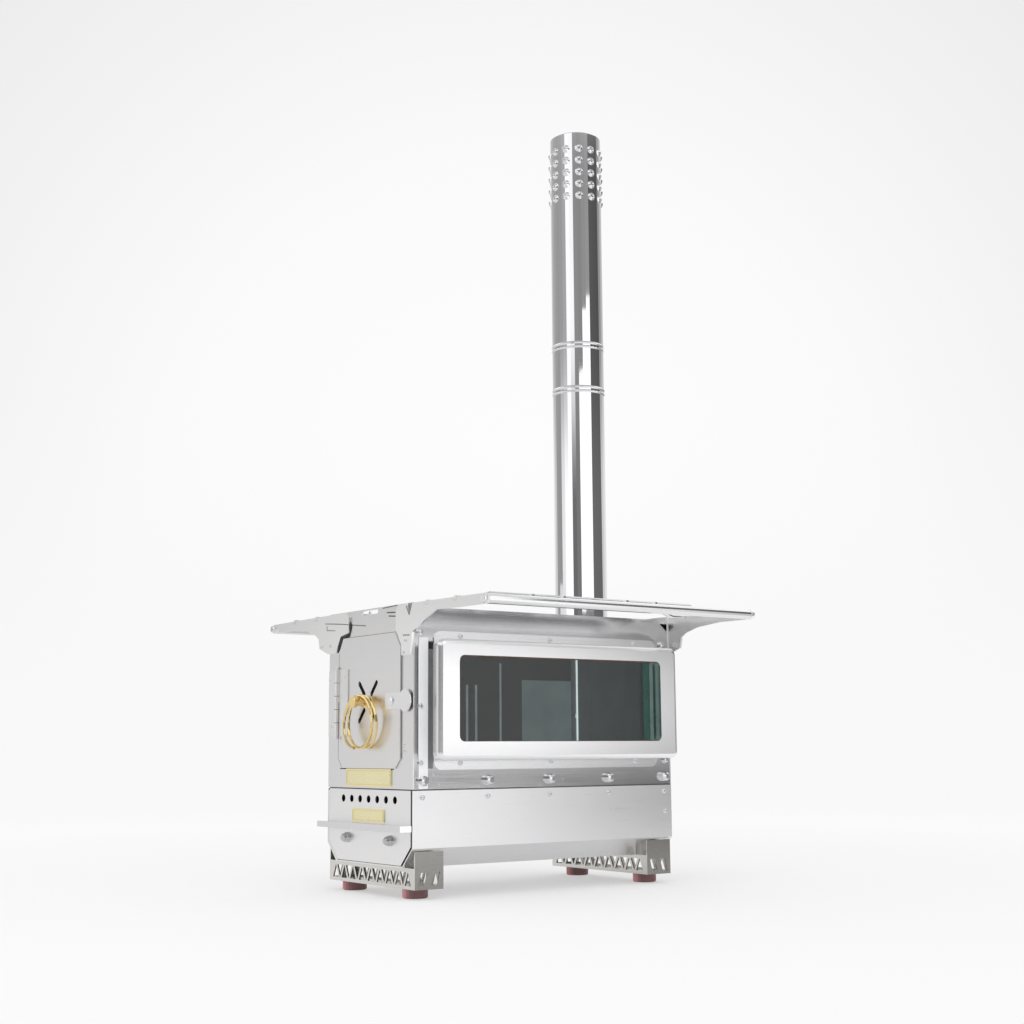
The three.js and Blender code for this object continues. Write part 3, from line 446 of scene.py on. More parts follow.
# The noises of the finishes: lumps per metre, how fine they get, and where they start.
BRUSHING = {"scale": 60.0, "detail": 2.0, "seed": 0.0}
CLOUDS = {"scale": 16.0, "detail": 4.0, "seed": 3.1}
MARKS = {"scale": 170.0, "detail": 5.0, "seed": 7.7}
LONG_WAVE = {"scale": 9.0, "detail": 1.0, "seed": 1.3}
SOOT_CLOUDS = {"scale": 45.0, "detail": 5.0, "seed": 2.4}
TOOTH = {"detail": 3.0, "seed": 5.2}
SMEARS = {"scale": 14.0, "detail": 4.0, "seed": 0.0}
SMEAR_STRETCH = (1.0, 1.0, 2.2)

# The part of a noise's values over which a colour or the gloss changes.
TONE_RANGE = (0.3, 0.7)
BRUSH_RANGE = (0.25, 0.75)
MARK_RANGE = (0.62, 0.75)
SOOT_RANGE = (0.35, 0.65)
SMEAR_RANGE = (0.45, 0.75)
# How far a face is turned sideways where the painted shade of the sides begins, and where it is
# full.
SIDE_SHADE_FACES = (0.6, 0.9)
# Faces turned towards +X over this range take the painted shade of a dull surface.
PAINTED_SHADE_FACES = (-0.1, 0.6)

MARK_DEPTH = 1.5  # how much rougher the marks are, as a multiple of the spread
SMOOTHER, ROUGHER = 0.08, 0.1  # how far the roughness of a dull surface varies
GLASS_IOR = 1.5
SMEAR_ROUGHNESS = 0.05


def metal(name, base, roughness, grain, blotch, relief, spread=0.05, wobble=0.0, sides=1.0):
    """Steel or brass with a brushed grain, soft blotches and a varying polish.

    base is the reflected colour, grain the stretch of the brushing along x, y and z,
    relief its depth in millimetres, and wobble the depth of a long soft wave. blotch and
    spread say how far the colour and the roughness vary. The last argument paints shade:
    it is the share of the colour left on faces turned to the left and right, which darkens
    them as shade would.
    """
    material, g = new_material(name)
    place = g.place()
    lines = g.noise(place, **BRUSHING, stretch=grain)
    cloud = g.noise(place, **CLOUDS)
    marks = g.noise(place, **MARKS)
    shader = g.node("ShaderNodeBsdfPrincipled")
    shader.inputs["Metallic"].default_value = 1.0
    darker = tuple(channel * (1.0 - blotch) for channel in base)
    lighter = tuple(min(1.0, channel * (1.0 + blotch)) for channel in base)
    tone = g.math("ADD", g.math("MULTIPLY", lines, 0.5), g.math("MULTIPLY", cloud, 0.5))
    colour = g.mix(g.spread(tone, *TONE_RANGE), darker, lighter)
    # Painted shade: faces turned to the left or right get a darker colour.
    if sides < 1.0:
        sideways = g.math("ABSOLUTE", g.facing_x())
        side_shaded = tuple(channel * sides for channel in base)
        colour = g.mix(g.spread(sideways, *SIDE_SHADE_FACES), colour, side_shaded)
    g.put(shader.inputs["Base Color"], colour)
    rough = g.spread(lines, *BRUSH_RANGE, roughness - spread, roughness + spread)
    worn = g.spread(marks, *MARK_RANGE, 0.0, spread * MARK_DEPTH)
    g.put(shader.inputs["Roughness"], g.math("ADD", rough, worn, clamp=True))
    bump = g.bump(lines, relief)
    if wobble:
        wave = g.bump(g.noise(place, **LONG_WAVE), wobble)
        g.put(bump.inputs["Normal"], wave.outputs[0])
    g.put(shader.inputs["Normal"], bump.outputs[0])
    g.finish(shader.outputs[0])
    return material


def dull(
    name, base, other, roughness, relief=0.05, lumps=600.0, metallic=0.0, glow=0.0, painted_shade=None
):
    """A cast, sooty or moulded surface: two close colours, uneven gloss and a fine tooth.

    relief is the depth of the tooth in millimetres, and lumps how many it has in a metre.
    The glow is painted light: the colour is also emitted, so that the piece looks lit where
    no lamp lights it. The shaded colour is painted shade, given to the faces turned towards +X,
    the window side.
    """
    material, g = new_material(name)
    place = g.place()
    cloud = g.noise(place, **SOOT_CLOUDS)
    tooth = g.noise(place, lumps, **TOOTH)
    shader = g.node("ShaderNodeBsdfPrincipled")
    shader.inputs["Metallic"].default_value = metallic
    colour = g.mix(g.spread(cloud, *SOOT_RANGE), base, other)
    # Painted shade: faces turned towards +X take the darker shaded colour.
    if painted_shade:
        colour = g.mix(g.spread(g.facing_x(), *PAINTED_SHADE_FACES, smooth=True), colour, painted_shade)
    g.put(shader.inputs["Base Color"], colour)
    # Painted light: the colour is also emitted.
    if glow:
        g.put(shader.inputs["Emission Color"], colour)
        shader.inputs["Emission Strength"].default_value = glow
    gloss = g.spread(cloud, *TONE_RANGE, roughness - SMOOTHER, roughness + ROUGHER)
    g.put(shader.inputs["Roughness"], gloss)
    g.put(shader.inputs["Normal"], g.bump(tooth, relief).outputs[0])
    g.finish(shader.outputs[0])
    return material


def glass(name, tint, smudge):
    """Smoked ceramic glass with faint smears."""
    material, g = new_material(name)
    cloud = g.noise(g.place(), **SMEARS, stretch=SMEAR_STRETCH)
    shader = g.node("ShaderNodeBsdfPrincipled")
    shader.inputs["Transmission Weight"].default_value = 1.0
    shader.inputs["IOR"].default_value = GLASS_IOR
    g.put(shader.inputs["Base Color"], g.mix(g.spread(cloud, *TONE_RANGE), tint, smudge))
    g.put(shader.inputs["Roughness"], g.spread(cloud, *SMEAR_RANGE, 0.0, SMEAR_ROUGHNESS))
    g.finish(shader.outputs[0])
    return material


# Brushing along the stove, across its front, and round a pipe.
ALONG_Y = (1.0, 0.25, 34.0)
ALONG_X = (0.25, 1.0, 34.0)
ROUND = (1.0, 1.0, 30.0)

satin = metal(
    "satin_steel_brushed", (0.90, 0.90, 0.91), roughness=0.30, grain=ALONG_Y,
    blotch=0.012, relief=0.002, spread=0.03,
)
satin_front = metal(
    "satin_steel_front", (0.85, 0.84, 0.838), roughness=0.32, grain=ALONG_X,
    blotch=0.012, relief=0.002, spread=0.03,
)
satin_drawer = metal(
    "satin_steel_drawer", (0.94, 0.93, 0.928), roughness=0.32, grain=ALONG_X,
    blotch=0.012, relief=0.002, spread=0.03,
)
bezel_steel = metal(
    "bezel_steel", (0.94, 0.94, 0.95), roughness=0.23, grain=ALONG_Y,
    blotch=0.006, relief=0.001, spread=0.02,
)
polished = metal(
    "polished_steel_sheet", (0.70, 0.70, 0.71), roughness=0.14, grain=ALONG_Y,
    blotch=0.02, relief=0.001, spread=0.03, wobble=0.07,
)
tray_steel = metal(
    "tray_steel", (0.90, 0.90, 0.91), roughness=0.22, grain=ALONG_Y,
    blotch=0.015, relief=0.001, spread=0.03, wobble=0.1,
)
mirror = metal(
    "mirror_steel_tube", (0.86, 0.86, 0.875), roughness=0.05, grain=ROUND,
    blotch=0.02, relief=0.0005, spread=0.02, wobble=0.25,
)
bright_wire = metal(
    "bright_wire", (0.84, 0.84, 0.85), roughness=0.14, grain=ALONG_Y,
    blotch=0.03, relief=0.001, spread=0.04,
)
screw_steel = metal(
    "screw_steel", (0.80, 0.80, 0.82), roughness=0.16, grain=ROUND,
    blotch=0.02, relief=0.001,
)
wing_steel = metal(
    "wing_steel", (0.97, 0.965, 0.96), roughness=0.30, grain=ALONG_X,
    blotch=0.015, relief=0.002, spread=0.03,
)
# Sheet steel of the legs; its faces turned to the left and right carry painted shade.
warm_sheet = metal(
    "warm_sheet_steel", (0.76, 0.745, 0.705), roughness=0.24, grain=ALONG_X,
    blotch=0.05, relief=0.003, sides=0.42,
)
brass = metal(
    "brass_polished", (0.90, 0.70, 0.34), roughness=0.17, grain=ROUND,
    blotch=0.06, relief=0.002, spread=0.06,
)
brass_plate = metal(
    "brass_plate", (0.95, 0.88, 0.55), roughness=0.27, grain=ALONG_X,
    blotch=0.04, relief=0.003,
)
pull_steel = metal(
    "pull_steel", (0.80, 0.80, 0.82), roughness=0.17, grain=ALONG_X,
    blotch=0.03, relief=0.002, spread=0.04, wobble=0.3,
)
hinge_steel = metal(
    "hinge_steel", (0.89, 0.885, 0.88), roughness=0.44, grain=ALONG_X,
    blotch=0.015, relief=0.002, spread=0.03,
)
bolt_steel = metal(
    "bolt_steel", (0.62, 0.62, 0.63), roughness=0.30, grain=ROUND,
    blotch=0.05, relief=0.002,
)
soot = dull(
    "heat_darkened_steel", (0.085, 0.08, 0.078), (0.15, 0.135, 0.12),
    roughness=0.5, metallic=0.8,
)
# Painted shadow: near-black strips where a gap, a corner or the door's foot lies in shadow.
painted_shadow_black = dull(
    "painted_shadow_black", (0.012, 0.012, 0.012), (0.022, 0.02, 0.02),
    roughness=0.6,
)
gasket = dull(
    "gasket_cord", (0.14, 0.06, 0.045), (0.22, 0.11, 0.08),
    roughness=0.8, relief=0.2, lumps=900.0,
)
# Red feet; the third colour is painted shade on their faces turned towards +X, under the shell.
clay = dull(
    "red_silicone_foot", (0.70, 0.30, 0.32), (0.56, 0.21, 0.23),
    roughness=0.4, painted_shade=(0.22, 0.105, 0.105),
)
shield_steel = dull(
    "heat_shield_steel", (0.05, 0.055, 0.06), (0.085, 0.09, 0.095),
    roughness=0.45, metallic=0.5,
)
# Painted light: the folded edges inside the firebox glow, though no lamp lights them.
fold_steel = dull(
    "folded_edge_steel", (0.48, 0.52, 0.53), (0.60, 0.63, 0.64),
    roughness=0.35, glow=0.55,
)
# Painted highlight: a thin line in the far rear corner that glows brightly.
painted_light_line = dull(
    "painted_light_line_steel", (0.86, 0.88, 0.88), (0.92, 0.93, 0.93),
    roughness=0.35, glow=1.9,
)
# Painted light: a pale sheet that glows on the far wall where light comes in through the far
# window.
window_light_sheet = dull(
    "painted_window_light", (0.30, 0.36, 0.36), (0.38, 0.44, 0.435),
    roughness=0.5, glow=0.45,
)
# Painted light: the rear inner surfaces glow faintly.
rear_lining = dull(
    "rear_lining", (0.13, 0.145, 0.145), (0.18, 0.195, 0.19),
    roughness=0.55, glow=0.2,
)
pane_edge = dull(
    "pane_edge_green", (0.014, 0.062, 0.052), (0.022, 0.085, 0.072),
    roughness=0.3,
)
pane_edge_pale = dull(
    "pane_edge_pale", (0.12, 0.19, 0.17), (0.17, 0.235, 0.21),
    roughness=0.3,
)
# Pale sanded steel of the corner posts, made paler still by a faint glow of painted light.
pale_strip = dull(
    "sanded_steel_painted_light", (0.86, 0.86, 0.87), (0.92, 0.92, 0.93),
    roughness=0.38, relief=0.01, glow=0.16,
)
# Painted shade: grey strips for the shade inside the slot beside each corner post and behind the
# notch.
slot_shade_grey = dull(
    "slot_shade_grey", (0.21, 0.215, 0.215), (0.27, 0.275, 0.275),
    roughness=0.4, relief=0.01,
)
# Grey for the fine lines between the hinge's knuckles and for the painted shade along the door's
# edges.
edge_grey = dull(
    "edge_grey", (0.20, 0.20, 0.20), (0.26, 0.26, 0.26),
    roughness=0.45, relief=0.01,
)
# Painted shade: dark grey lines along the rail's lip and the front wing brackets' edges.
shade_line_grey = dull(
    "shade_line_grey", (0.075, 0.075, 0.078), (0.11, 0.11, 0.112),
    roughness=0.5, relief=0.01,
)
smoked = glass("smoked_ceramic_glass", (0.34, 0.40, 0.40), (0.30, 0.36, 0.365))

# The finish of each material slot of the model, and of the nodes that have one of their own.
FINISH = {
    "satin_steel": satin,
    "polished_steel": polished,
    "mirror_steel": mirror,
    "sheet_steel": warm_sheet,
    "dark_steel": soot,
    "brass": brass,
    "red_pad": clay,
    "window_glass": smoked,
}
OWN_FINISH = {
    "front_plate": satin_front,
    "door_panel": satin_front,
    "drawer_front": satin_drawer,
    "drawer_pull": pull_steel,
    "right_drawer_bolt": bolt_steel,
    "left_drawer_bolt": bolt_steel,
    "name_plate": brass_plate,
    "drawer_badge": brass_plate,
    "right_window_tray": tray_steel,
    "left_window_tray": tray_steel,
    "right_window_bezel": bezel_steel,
    "left_window_bezel": bezel_steel,
    "right_front_wing": wing_steel,
    "left_front_wing": wing_steel,
    "right_rear_wing": wing_steel,
    "left_rear_wing": wing_steel,
    "hinge_pin": hinge_steel,
    "hinge_frame_leaf": hinge_steel,
    "hinge_door_leaf": hinge_steel,
    "right_rack_grate": bright_wire,
    "left_rack_grate": bright_wire,
    "right_rack_rod": bright_wire,
    "left_rack_rod": bright_wire,
}
SOFTENED = 0.35 * MM  # the rounding of sheet edges
BEVEL_SEGMENTS = 2
BEVEL_ANGLE = math.radians(32.0)  # edges that turn less stay as they are
NO_BEVEL = ("ring_handle", "spark_arrestor", "hearth_plate", "window_glass", "flue_pipe")


def soften(piece, width=SOFTENED):
    bevel = piece.modifiers.new("softened_edges", "BEVEL")
    bevel.width = width
    bevel.segments = BEVEL_SEGMENTS
    bevel.limit_method = "ANGLE"
    bevel.angle_limit = BEVEL_ANGLE
    bevel.harden_normals = True
    bevel.use_clamp_overlap = True


for name, node in nodes.items():
    cad_slot = node.material_slots[0].material.name.split(".")[0]
    for slot in node.material_slots:
        slot.material = OWN_FINISH.get(name, FINISH[cad_slot])
    if not any(part in name for part in NO_BEVEL):
        soften(node)

# ---------------------------------------------------------------- making pieces

SHARP_ANGLE = 30.0  # degrees; edges of a piece that turn more are shaded sharp
SCREW_SIDES = 18
TO_FRONT = (0.0, -1.0, 0.0)
TO_REAR = (0.0, 1.0, 0.0)
TO_RIGHT = (1.0, 0.0, 0.0)
TO_LEFT = (-1.0, 0.0, 0.0)
SIDES = (("right", 1.0, TO_RIGHT), ("left", -1.0, TO_LEFT))


def basis(normal):
    """A turn that takes +Z to the given direction."""
    return Vector(UP).rotation_difference(Vector(normal)).to_matrix().to_4x4()


def lathe(shape, profile, place, normal, sides):
    """Turn a profile of (radius, height) in millimetres round an axis through place."""
    start = len(shape.verts)
    loops = []
    for radius, height in profile:
        loop = []
        for k in range(sides):
            angle = 2.0 * math.pi * k / sides
            point = Vector((radius * math.cos(angle), radius * math.sin(angle), height)) * MM
            loop.append(shape.verts.new(point))
        loops.append(loop)
    for lower, upper in zip(loops, loops[1:]):
        for k in range(sides):
            after = (k + 1) % sides
            shape.faces.new((lower[k], lower[after], upper[after], upper[k]))
    shape.faces.new(list(reversed(loops[0])))
    shape.faces.new(loops[-1])
    shape.verts.ensure_lookup_table()
    matrix = Matrix.Translation(Vector(place) * MM) @ basis(normal)
    bmesh.ops.transform(shape, matrix=matrix, verts=shape.verts[start:])


def slab(shape, outline, across, low, high):
    """A prism over an outline in millimetres: (x, z) across y, or (y, z) across x."""
    rings = []
    for level in (low, high):
        ring = []
        for first, z in outline:
            point = (first, level, z) if across == "y" else (level, first, z)
            ring.append(shape.verts.new(Vector(point) * MM))
        rings.append(ring)
    shape.faces.new(rings[0])
    shape.faces.new(list(reversed(rings[1])))
    count = len(outline)
    for k in range(count):
        after = (k + 1) % count
        shape.faces.new((rings[0][k], rings[1][k], rings[1][after], rings[0][after]))


def finish_piece(name, shape, material, body, sharp=SHARP_ANGLE):
    """Make the piece of a shape, which ends with this, and say its body."""
    data = bpy.data.meshes.new(name)
    bmesh.ops.recalc_face_normals(shape, faces=shape.faces)
    limit = math.radians(sharp)
    for face in shape.faces:
        face.smooth = True
    for edge in shape.edges:
        edge.smooth = edge.calc_face_angle(0.0) < limit
    shape.to_mesh(data)
    shape.free()
    data.materials.append(material)
    piece = bpy.data.objects.new(name, data)
    scene.collection.objects.link(piece)
    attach(piece, body)
    return piece


def turned(name, profile, places, sides, material, body, slot, sharp=SHARP_ANGLE):
    """One piece of equal turned shapes; each place is (point, direction)."""
    shape = bmesh.new()
    for place, normal in places:
        lathe(shape, profile, place, normal, sides)
    finish_piece(name, shape, material, body, sharp)


def screws(name, places, normal, head, body="casing"):
    """One piece of equal screw heads that all point along normal."""
    aimed = [(place, normal) for place in places]
    turned(name, head, aimed, SCREW_SIDES, screw_steel, body, "mirror_steel")


def trim(
    name, outlines, across, face, reach, material,
    body="casing", base=0.0, rounded=0.0,
):
    """Flat strips along a face, from base to reach millimetres off it.

    across is the axis square to the face, and reach is negative towards the front or the left.
    """
    low, high = sorted((face + base, face + reach))
    shape = bmesh.new()
    for outline in outlines:
        slab(shape, outline, across, low, high)
    piece = finish_piece(name, shape, material, body)
    if rounded:
        soften(piece, rounded * MM)


def stroke(start, end, width):
    """The outline of a straight line of the given width."""
    along = Vector((end[0] - start[0], end[1] - start[1])).normalized()
    off = Vector((-along.y, along.x)) * width / 2.0
    first, last = Vector(start), Vector(end)
    return [tuple(first - off), tuple(last - off), tuple(last + off), tuple(first + off)]


def border(low, high, width):
    """The four strips along the inside of a rectangle."""
    (left, bottom), (right, top) = low, high
    return [
        rectangle((left, bottom), (right, bottom + width)),
        rectangle((left, top - width), (right, top)),
        rectangle((left, bottom + width), (left + width, top - width)),
        rectangle((right - width, bottom + width), (right, top - width)),
    ]


# ---------------------------------------------------------------- screws

# Heads as (radius, height) from the surface that they sit on, each with its recess.
PAN_HEAD = [(2.6, -0.6), (2.6, 0.5), (2.45, 1.0), (2.0, 1.45), (1.2, 1.7), (1.1, 0.9)]
FLAT_HEAD = [(2.1, -0.6), (2.1, 0.35), (1.8, 0.6), (1.0, 0.65), (0.9, 0.1)]
BOLT_HEAD = [
    (3.6, -0.6),
    (3.6, 0.9),
    (3.3, 1.3),
    (2.6, 1.3),
    (2.6, 2.9),
    (2.2, 3.5),
    (1.3, 3.7),
    (1.2, 2.2),
]

FRONT_Y = -159.4  # front face of the body
REAR_Y = 174.6
SIDE_X = 86.0  # outer face of the side panels
POST_X = 87.2  # outer face of the corner posts
FLANGE_X = 87.2  # outer face of the windows' flanges
WING_SHEET = 2.4  # how far a wing bracket's foot stands off the body
FRONT_WING_Y = FRONT_Y - WING_SHEET
REAR_WING_Y = REAR_Y + WING_SHEET
FRAME_LEAF_Y = FRONT_Y - 1.0  # faces of the hinge's two leaves
DOOR_LEAF_Y = FRONT_Y - 2.6
RAIL_Y = FRONT_Y + 1.2  # the slotted rail lies a little back

POST_BOLTS_YZ = [(-151.0, 187.3), (-151.0, 131.6)]
SIDE_BOLTS_YZ = [(-152.4, 260.0), (163.2, 258.2), (165.8, 131.6)]
FLANGE_YZ = [(y, z) for y in (-104.5, 8.5, 122.5) for z in (257.6, 131.0)]
SHELL_YZ = [(y, 98.0) for y in (-148.4, -70.4, 7.6, 85.6, 163.6)] + [(165.2, 76.4)]
WING_X = (80.0, 98.5)
WING_Z = 255.5
LEFT_WING_XZ = [(-x, WING_Z) for x in WING_X]
LATCH_WING_XZ = [(75.0, 252.4), (72.0, 240.8)]
MARGIN_XZ = [(69.0, 150.0), (71.0, 143.5)]
HINGE_FRAME_XZ = [(-82.0, 219.0), (-77.0, 170.0)]
HINGE_DOOR_XZ = [(-45.0, 221.0), (-45.0, 168.0)]
RAIL_XZ = [(-2.0, 285.6)]

# Each is (kind, face, places on it, head); the name of a piece is its side and its kind.
SIDE_SCREWS = [
    ("panel_bolts", SIDE_X, SIDE_BOLTS_YZ, BOLT_HEAD),
    ("post_bolts", POST_X, POST_BOLTS_YZ, PAN_HEAD),
    ("flange_screws", FLANGE_X, FLANGE_YZ, PAN_HEAD),
    ("shell_screws", SIDE_X, SHELL_YZ, PAN_HEAD),
]
# Each is (name, face, places on it, body).
FRONT_SCREWS = [
    ("left_front_wing_screws", FRONT_WING_Y, LEFT_WING_XZ, "casing"),
    ("right_front_wing_screws", FRONT_WING_Y, LATCH_WING_XZ, "casing"),
    ("margin_screws", FRONT_Y, MARGIN_XZ, "casing"),
    ("hinge_frame_screws", FRAME_LEAF_Y, HINGE_FRAME_XZ, "casing"),
    ("hinge_door_screws", DOOR_LEAF_Y, HINGE_DOOR_XZ, "door"),
    ("rail_screw", RAIL_Y, RAIL_XZ, "casing"),
]

for side, sign, normal in SIDES:
    for kind, face, places_yz, head in SIDE_SCREWS:
        screws(f"{side}_{kind}", [(sign * face, y, z) for y, z in places_yz], normal, head)
    rear_places = [(sign * x, REAR_WING_Y, WING_Z) for x in WING_X]
    screws(f"{side}_rear_wing_screws", rear_places, TO_REAR, FLAT_HEAD)

for name, face, places_xz, body in FRONT_SCREWS:
    screws(name, [(x, face, z) for x, z in places_xz], TO_FRONT, FLAT_HEAD, body)

# ---------------------------------------------------------------- corner posts and panes

PANE_X = 101.0  # where the strips on the panes start
POST_YZ = rectangle((-153.0, 106.5), (-142.6, 255.5))
POST_GAP_YZ = rectangle((-142.4, 126.0), (-136.3, 252.0))
POST_GAP_TOP_YZ = rectangle((-142.4, 244.0), (-136.3, 251.0))
GASKET_YZ = [
    stroke((-120.0, 237.6), (139.0, 237.6), 1.4),
    stroke((-120.0, 152.3), (139.0, 152.3), 1.0),
    stroke((-121.4, 156.0), (-121.4, 234.0), 1.0),
]
PANE_EDGE_YZ = [
    rectangle((124.0, 153.6), (133.4, 236.6)),
    rectangle((138.6, 153.6), (139.9, 236.6)),
]
PANE_BAND_YZ = rectangle((133.6, 153.6), (138.4, 236.6))
# Each is (kind, outlines, face, base, reach, material, slot, rounding); trim takes all but the
# slot, which is not used.
SIDE_TRIM = [
    ("corner_post", [POST_YZ], SIDE_X, 0.0, 1.2, pale_strip, "satin_steel", 0.3),
    # The post gap and its top are painted shade: a grey and a black strip in the slot.
    ("post_gap", [POST_GAP_YZ], SIDE_X, 0.0, 0.3, slot_shade_grey, "dark_steel", 0.0),
    ("post_gap_top", [POST_GAP_TOP_YZ], SIDE_X, 0.3, 0.5, painted_shadow_black, "dark_steel", 0.0),
    ("pane_gasket", GASKET_YZ, PANE_X, 0.0, 0.8, gasket, "dark_steel", 0.0),
    ("pane_edge", PANE_EDGE_YZ, PANE_X, 0.0, 0.25, pane_edge, "window_glass", 0.0),
    ("pane_edge_pale", [PANE_BAND_YZ], PANE_X, 0.0, 0.25, pane_edge_pale, "window_glass", 0.0),
]

for side, sign, _ in SIDES:
    for kind, outlines, face, base, reach, material, slot, rounded in SIDE_TRIM:
        trim(
            f"{side}_{kind}", outlines, "x", sign * face, sign * reach, material,
            base=sign * base, rounded=rounded,
        )

# ---------------------------------------------------------------- behind the glass

# The heat shield inside the far wall, with its folded edges, the post in the far rear corner,
# and the lining of the rear wall. Beside the shield a glowing sheet paints the light that
# comes in through the far window, a thin line glows as a painted highlight in the far corner,
# and the folds, the corner pieces and the rear lining glow faintly as painted light.
SHIELD_X = -80.0
SHIELD_SHEET = 1.0
SHIELD_YZ = [rectangle((-140.0, 112.0), (91.0, 260.0)), rectangle((91.0, 224.5), (163.5, 260.0))]
FOLDS_YZ = [
    stroke((13.6, 113.0), (13.6, 217.4), 2.6),
    stroke((26.0, 113.0), (26.0, 217.4), 2.6),
    stroke((60.0, 113.0), (60.0, 243.0), 2.2),
]
FOLD_HEIGHT = 1.2
FOLD_ROUNDING = 0.3
WINDOW_LIGHT_YZ = rectangle((91.2, 112.0), (163.3, 224.3))
CORNER_YZ = rectangle((163.5, 108.0), (171.0, 260.0))
CORNER_SCREWS_YZ = [(165.5, 183.3), (169.8, 183.3)]
REAR_WALL_Y = 172.8
CORNER_LEAF_XZ = rectangle((-77.0, 108.0), (-53.0, 252.0))
CORNER_LEAF_SHEET = 1.4
CORNER_LIGHT_LINE_XZ = rectangle((-79.4, 108.0), (-77.6, 260.0))
CORNER_LIGHT_LINE_HEIGHT = 2.2
REAR_LINING_XZ = rectangle((-52.8, 108.0), (84.0, 252.0))
REAR_LINING_SHEET = 0.8

trim("far_heat_shield", SHIELD_YZ, "x", SHIELD_X, -SHIELD_SHEET, shield_steel)
trim(
    "far_shield_folds", FOLDS_YZ, "x", SHIELD_X, FOLD_HEIGHT, fold_steel,
    rounded=FOLD_ROUNDING,
)
trim("far_window_light", [WINDOW_LIGHT_YZ], "x", SHIELD_X, -SHIELD_SHEET, window_light_sheet)
trim("far_corner_post", [CORNER_YZ], "x", SHIELD_X, -SHIELD_SHEET, rear_lining)
trim("far_corner_leaf", [CORNER_LEAF_XZ], "y", REAR_WALL_Y, -CORNER_LEAF_SHEET, rear_lining)
trim(
    "far_corner_light_line", [CORNER_LIGHT_LINE_XZ], "y", REAR_WALL_Y, -CORNER_LIGHT_LINE_HEIGHT, painted_light_line,
)
trim("rear_inner_lining", [REAR_LINING_XZ], "y", REAR_WALL_Y, -REAR_LINING_SHEET, rear_lining)
screws("far_corner_screws", [(SHIELD_X, y, z) for y, z in CORNER_SCREWS_YZ], TO_RIGHT, FLAT_HEAD)

# ---------------------------------------------------------------- front

# Raised borders of the two bare brass plates.
PLATE_Y = FRONT_Y - 1.0
BORDER_HEIGHT = 0.25
NAME_BORDER_XZ = border((-44.4, 109.2), (44.4, 124.0), 0.8)
BADGE_BORDER_XZ = border((-31.0, 73.5), (31.0, 84.1), 0.7)
trim("name_plate_border", NAME_BORDER_XZ, "y", PLATE_Y, -BORDER_HEIGHT, brass)
trim(
    "badge_border", BADGE_BORDER_XZ, "y", PLATE_Y, -BORDER_HEIGHT, brass,
    body="drawer",
)

# Painted shade: dark strips that stand in for the shade in the gaps and along the edges of
# the front plate, the door and the front wing brackets, and for the shadow under the door's
# foot; they stand off their faces by these heights.
GAP_HEIGHT = 0.2
SHADE_LINE_HEIGHT = 0.15
DOOR_SHADE_LINE_HEIGHT = 0.12
LEFT_GAP_XZ = [
    (-41.2, 280.0),
    (-36.8, 275.0),
    (-41.5, 263.5),
    (-54.0, 260.6),
    (-66.5, 247.5),
    (-69.0, 247.5),
    (-58.0, 264.3),
    (-41.2, 267.3),
]
PLATE_SHADE_LINES_XZ = [
    stroke((-40.8, 276.0), (-8.6, 272.8), 0.9),
    stroke((34.5, 283.4), (55.0, 282.2), 1.3),
    stroke((38.0, 279.6), (55.0, 278.2), 1.3),
    stroke((26.0, 288.4), (55.0, 289.4), 0.9),
]
LEFT_WING_SHADE_LINES_XZ = [
    stroke((-93.0, 280.6), (-60.0, 278.0), 0.9),
    stroke((-60.0, 278.0), (-41.6, 276.2), 0.9),
    stroke((-88.5, 273.0), (-88.5, 277.6), 0.9),
    stroke((-88.5, 273.0), (-70.0, 271.6), 0.7),
]
RIGHT_WING_SHADE_LINES_XZ = [
    stroke((70.0, 258.0), (82.5, 257.4), 1.0),
    stroke((75.9, 287.0), (81.8, 277.6), 0.8),
]
NOTCH_XZ = [(76.0, 289.6), (82.0, 276.2), (85.8, 283.0), (85.8, 289.6)]
DOOR_FOOT_XZ = rectangle((-60.0, 124.9), (50.0, 126.0))
DOOR_TOP_XZ = stroke((-50.0, 262.5), (53.0, 262.5), 0.7)
DOOR_EDGE_XZ = [
    stroke((-61.6, 246.2), (-61.6, 229.8), 0.5),
    stroke((-61.6, 155.2), (-61.6, 136.3), 0.5),
    stroke((-61.6, 136.3), (-53.8, 126.5), 0.5),
]
# The folded lip of the shell, which fills most of the drawer's gap on the hinge side.
SHELL_LIP_XZ = [
    (-84.8, 103.2),
    (-84.8, 49.5),
    (-66.5, 31.2),
    (-63.53, 31.2),
    (-82.7, 50.37),
    (-82.7, 103.2),
]
SHELL_LIP_START, SHELL_LIP_END = 0.2, 1.4  # behind the front plate's face
door_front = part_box("door_panel")[0][1] / MM  # the painted shade lines at its edges move with the door
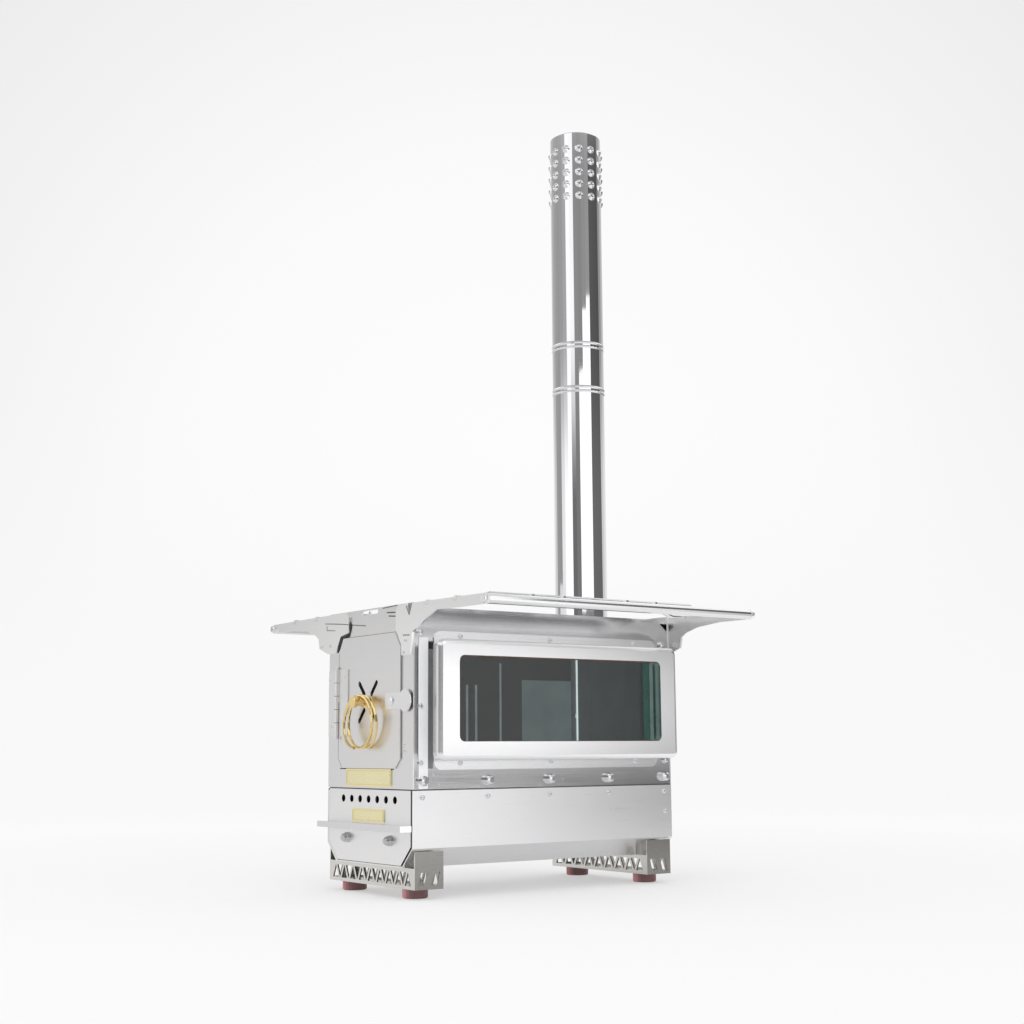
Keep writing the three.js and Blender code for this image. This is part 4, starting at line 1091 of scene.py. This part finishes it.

trim("left_corner_gap", [LEFT_GAP_XZ], "y", FRONT_Y, -GAP_HEIGHT, painted_shadow_black)
trim("rail_shade_lines", PLATE_SHADE_LINES_XZ, "y", FRONT_Y, -SHADE_LINE_HEIGHT, shade_line_grey)
trim("notch_back", [NOTCH_XZ], "y", FRONT_Y, -GAP_HEIGHT, slot_shade_grey)
trim(
    "shell_lip", [SHELL_LIP_XZ], "y", FRONT_Y, SHELL_LIP_END, satin_drawer,
    base=SHELL_LIP_START,
)
trim("door_top_shade_line", [DOOR_TOP_XZ], "y", FRONT_Y, -SHADE_LINE_HEIGHT, edge_grey)
trim("door_edge_shade_lines", DOOR_EDGE_XZ, "y", door_front, -DOOR_SHADE_LINE_HEIGHT, edge_grey, body="door")
trim("door_foot_shadow", [DOOR_FOOT_XZ], "y", FRONT_Y, -SHADE_LINE_HEIGHT, painted_shadow_black)
trim("left_wing_shade_lines", LEFT_WING_SHADE_LINES_XZ, "y", FRONT_WING_Y, -SHADE_LINE_HEIGHT, shade_line_grey)
trim("right_wing_shade_lines", RIGHT_WING_SHADE_LINES_XZ, "y", FRONT_WING_Y, -SHADE_LINE_HEIGHT, shade_line_grey)

# Fine lines between the knuckles of the door's hinge.
HINGE_XY = (-62.0, -163.1)
KNUCKLE_Z = (173.0, 187.0, 201.0, 215.0)
KNUCKLE_LINE = [(1.8, 0.0), (3.3, 0.0), (3.3, 0.6), (1.8, 0.6)]
KNUCKLE_SIDES = 24
knuckles = [((*HINGE_XY, z), UP) for z in KNUCKLE_Z]
turned("knuckle_lines", KNUCKLE_LINE, knuckles, KNUCKLE_SIDES, edge_grey, "casing", "dark_steel")

# ---------------------------------------------------------------- spark arrestor

# Collared holes, one small cone over each hole of the tube.
FLUE_Y = 119.6
FLUE_RADIUS = 30.0
FLUE_TOP = 868.0
FIRST_ROW = 20.2  # down from the top
ROW_PITCH = 14.6
ROWS = 5
COLLARS_ROUND = 12
COLLAR = [(4.9, -1.0), (4.8, 0.0), (3.5, 1.7), (2.5, 2.3), (1.9, 2.1), (1.7, 1.0)]
COLLAR_SIDES = 12
COLLAR_SHARP = 22.0


def collar_places():
    """The middle of each hole on the tube's surface, and the way out of it."""
    places = []
    for row in range(ROWS):
        z = FLUE_TOP - FIRST_ROW - ROW_PITCH * row
        for k in range(COLLARS_ROUND):
            angle = 2.0 * math.pi * k / COLLARS_ROUND
            out = Vector((math.cos(angle), math.sin(angle), 0.0))
            places.append(((FLUE_RADIUS * out.x, FLUE_Y + FLUE_RADIUS * out.y, z), out))
    return places


turned(
    "spark_collars", COLLAR, collar_places(), COLLAR_SIDES, mirror, "flue_head", "mirror_steel",
    COLLAR_SHARP,
)

# ---------------------------------------------------------------- close

scene.view_settings.view_transform = "Standard"
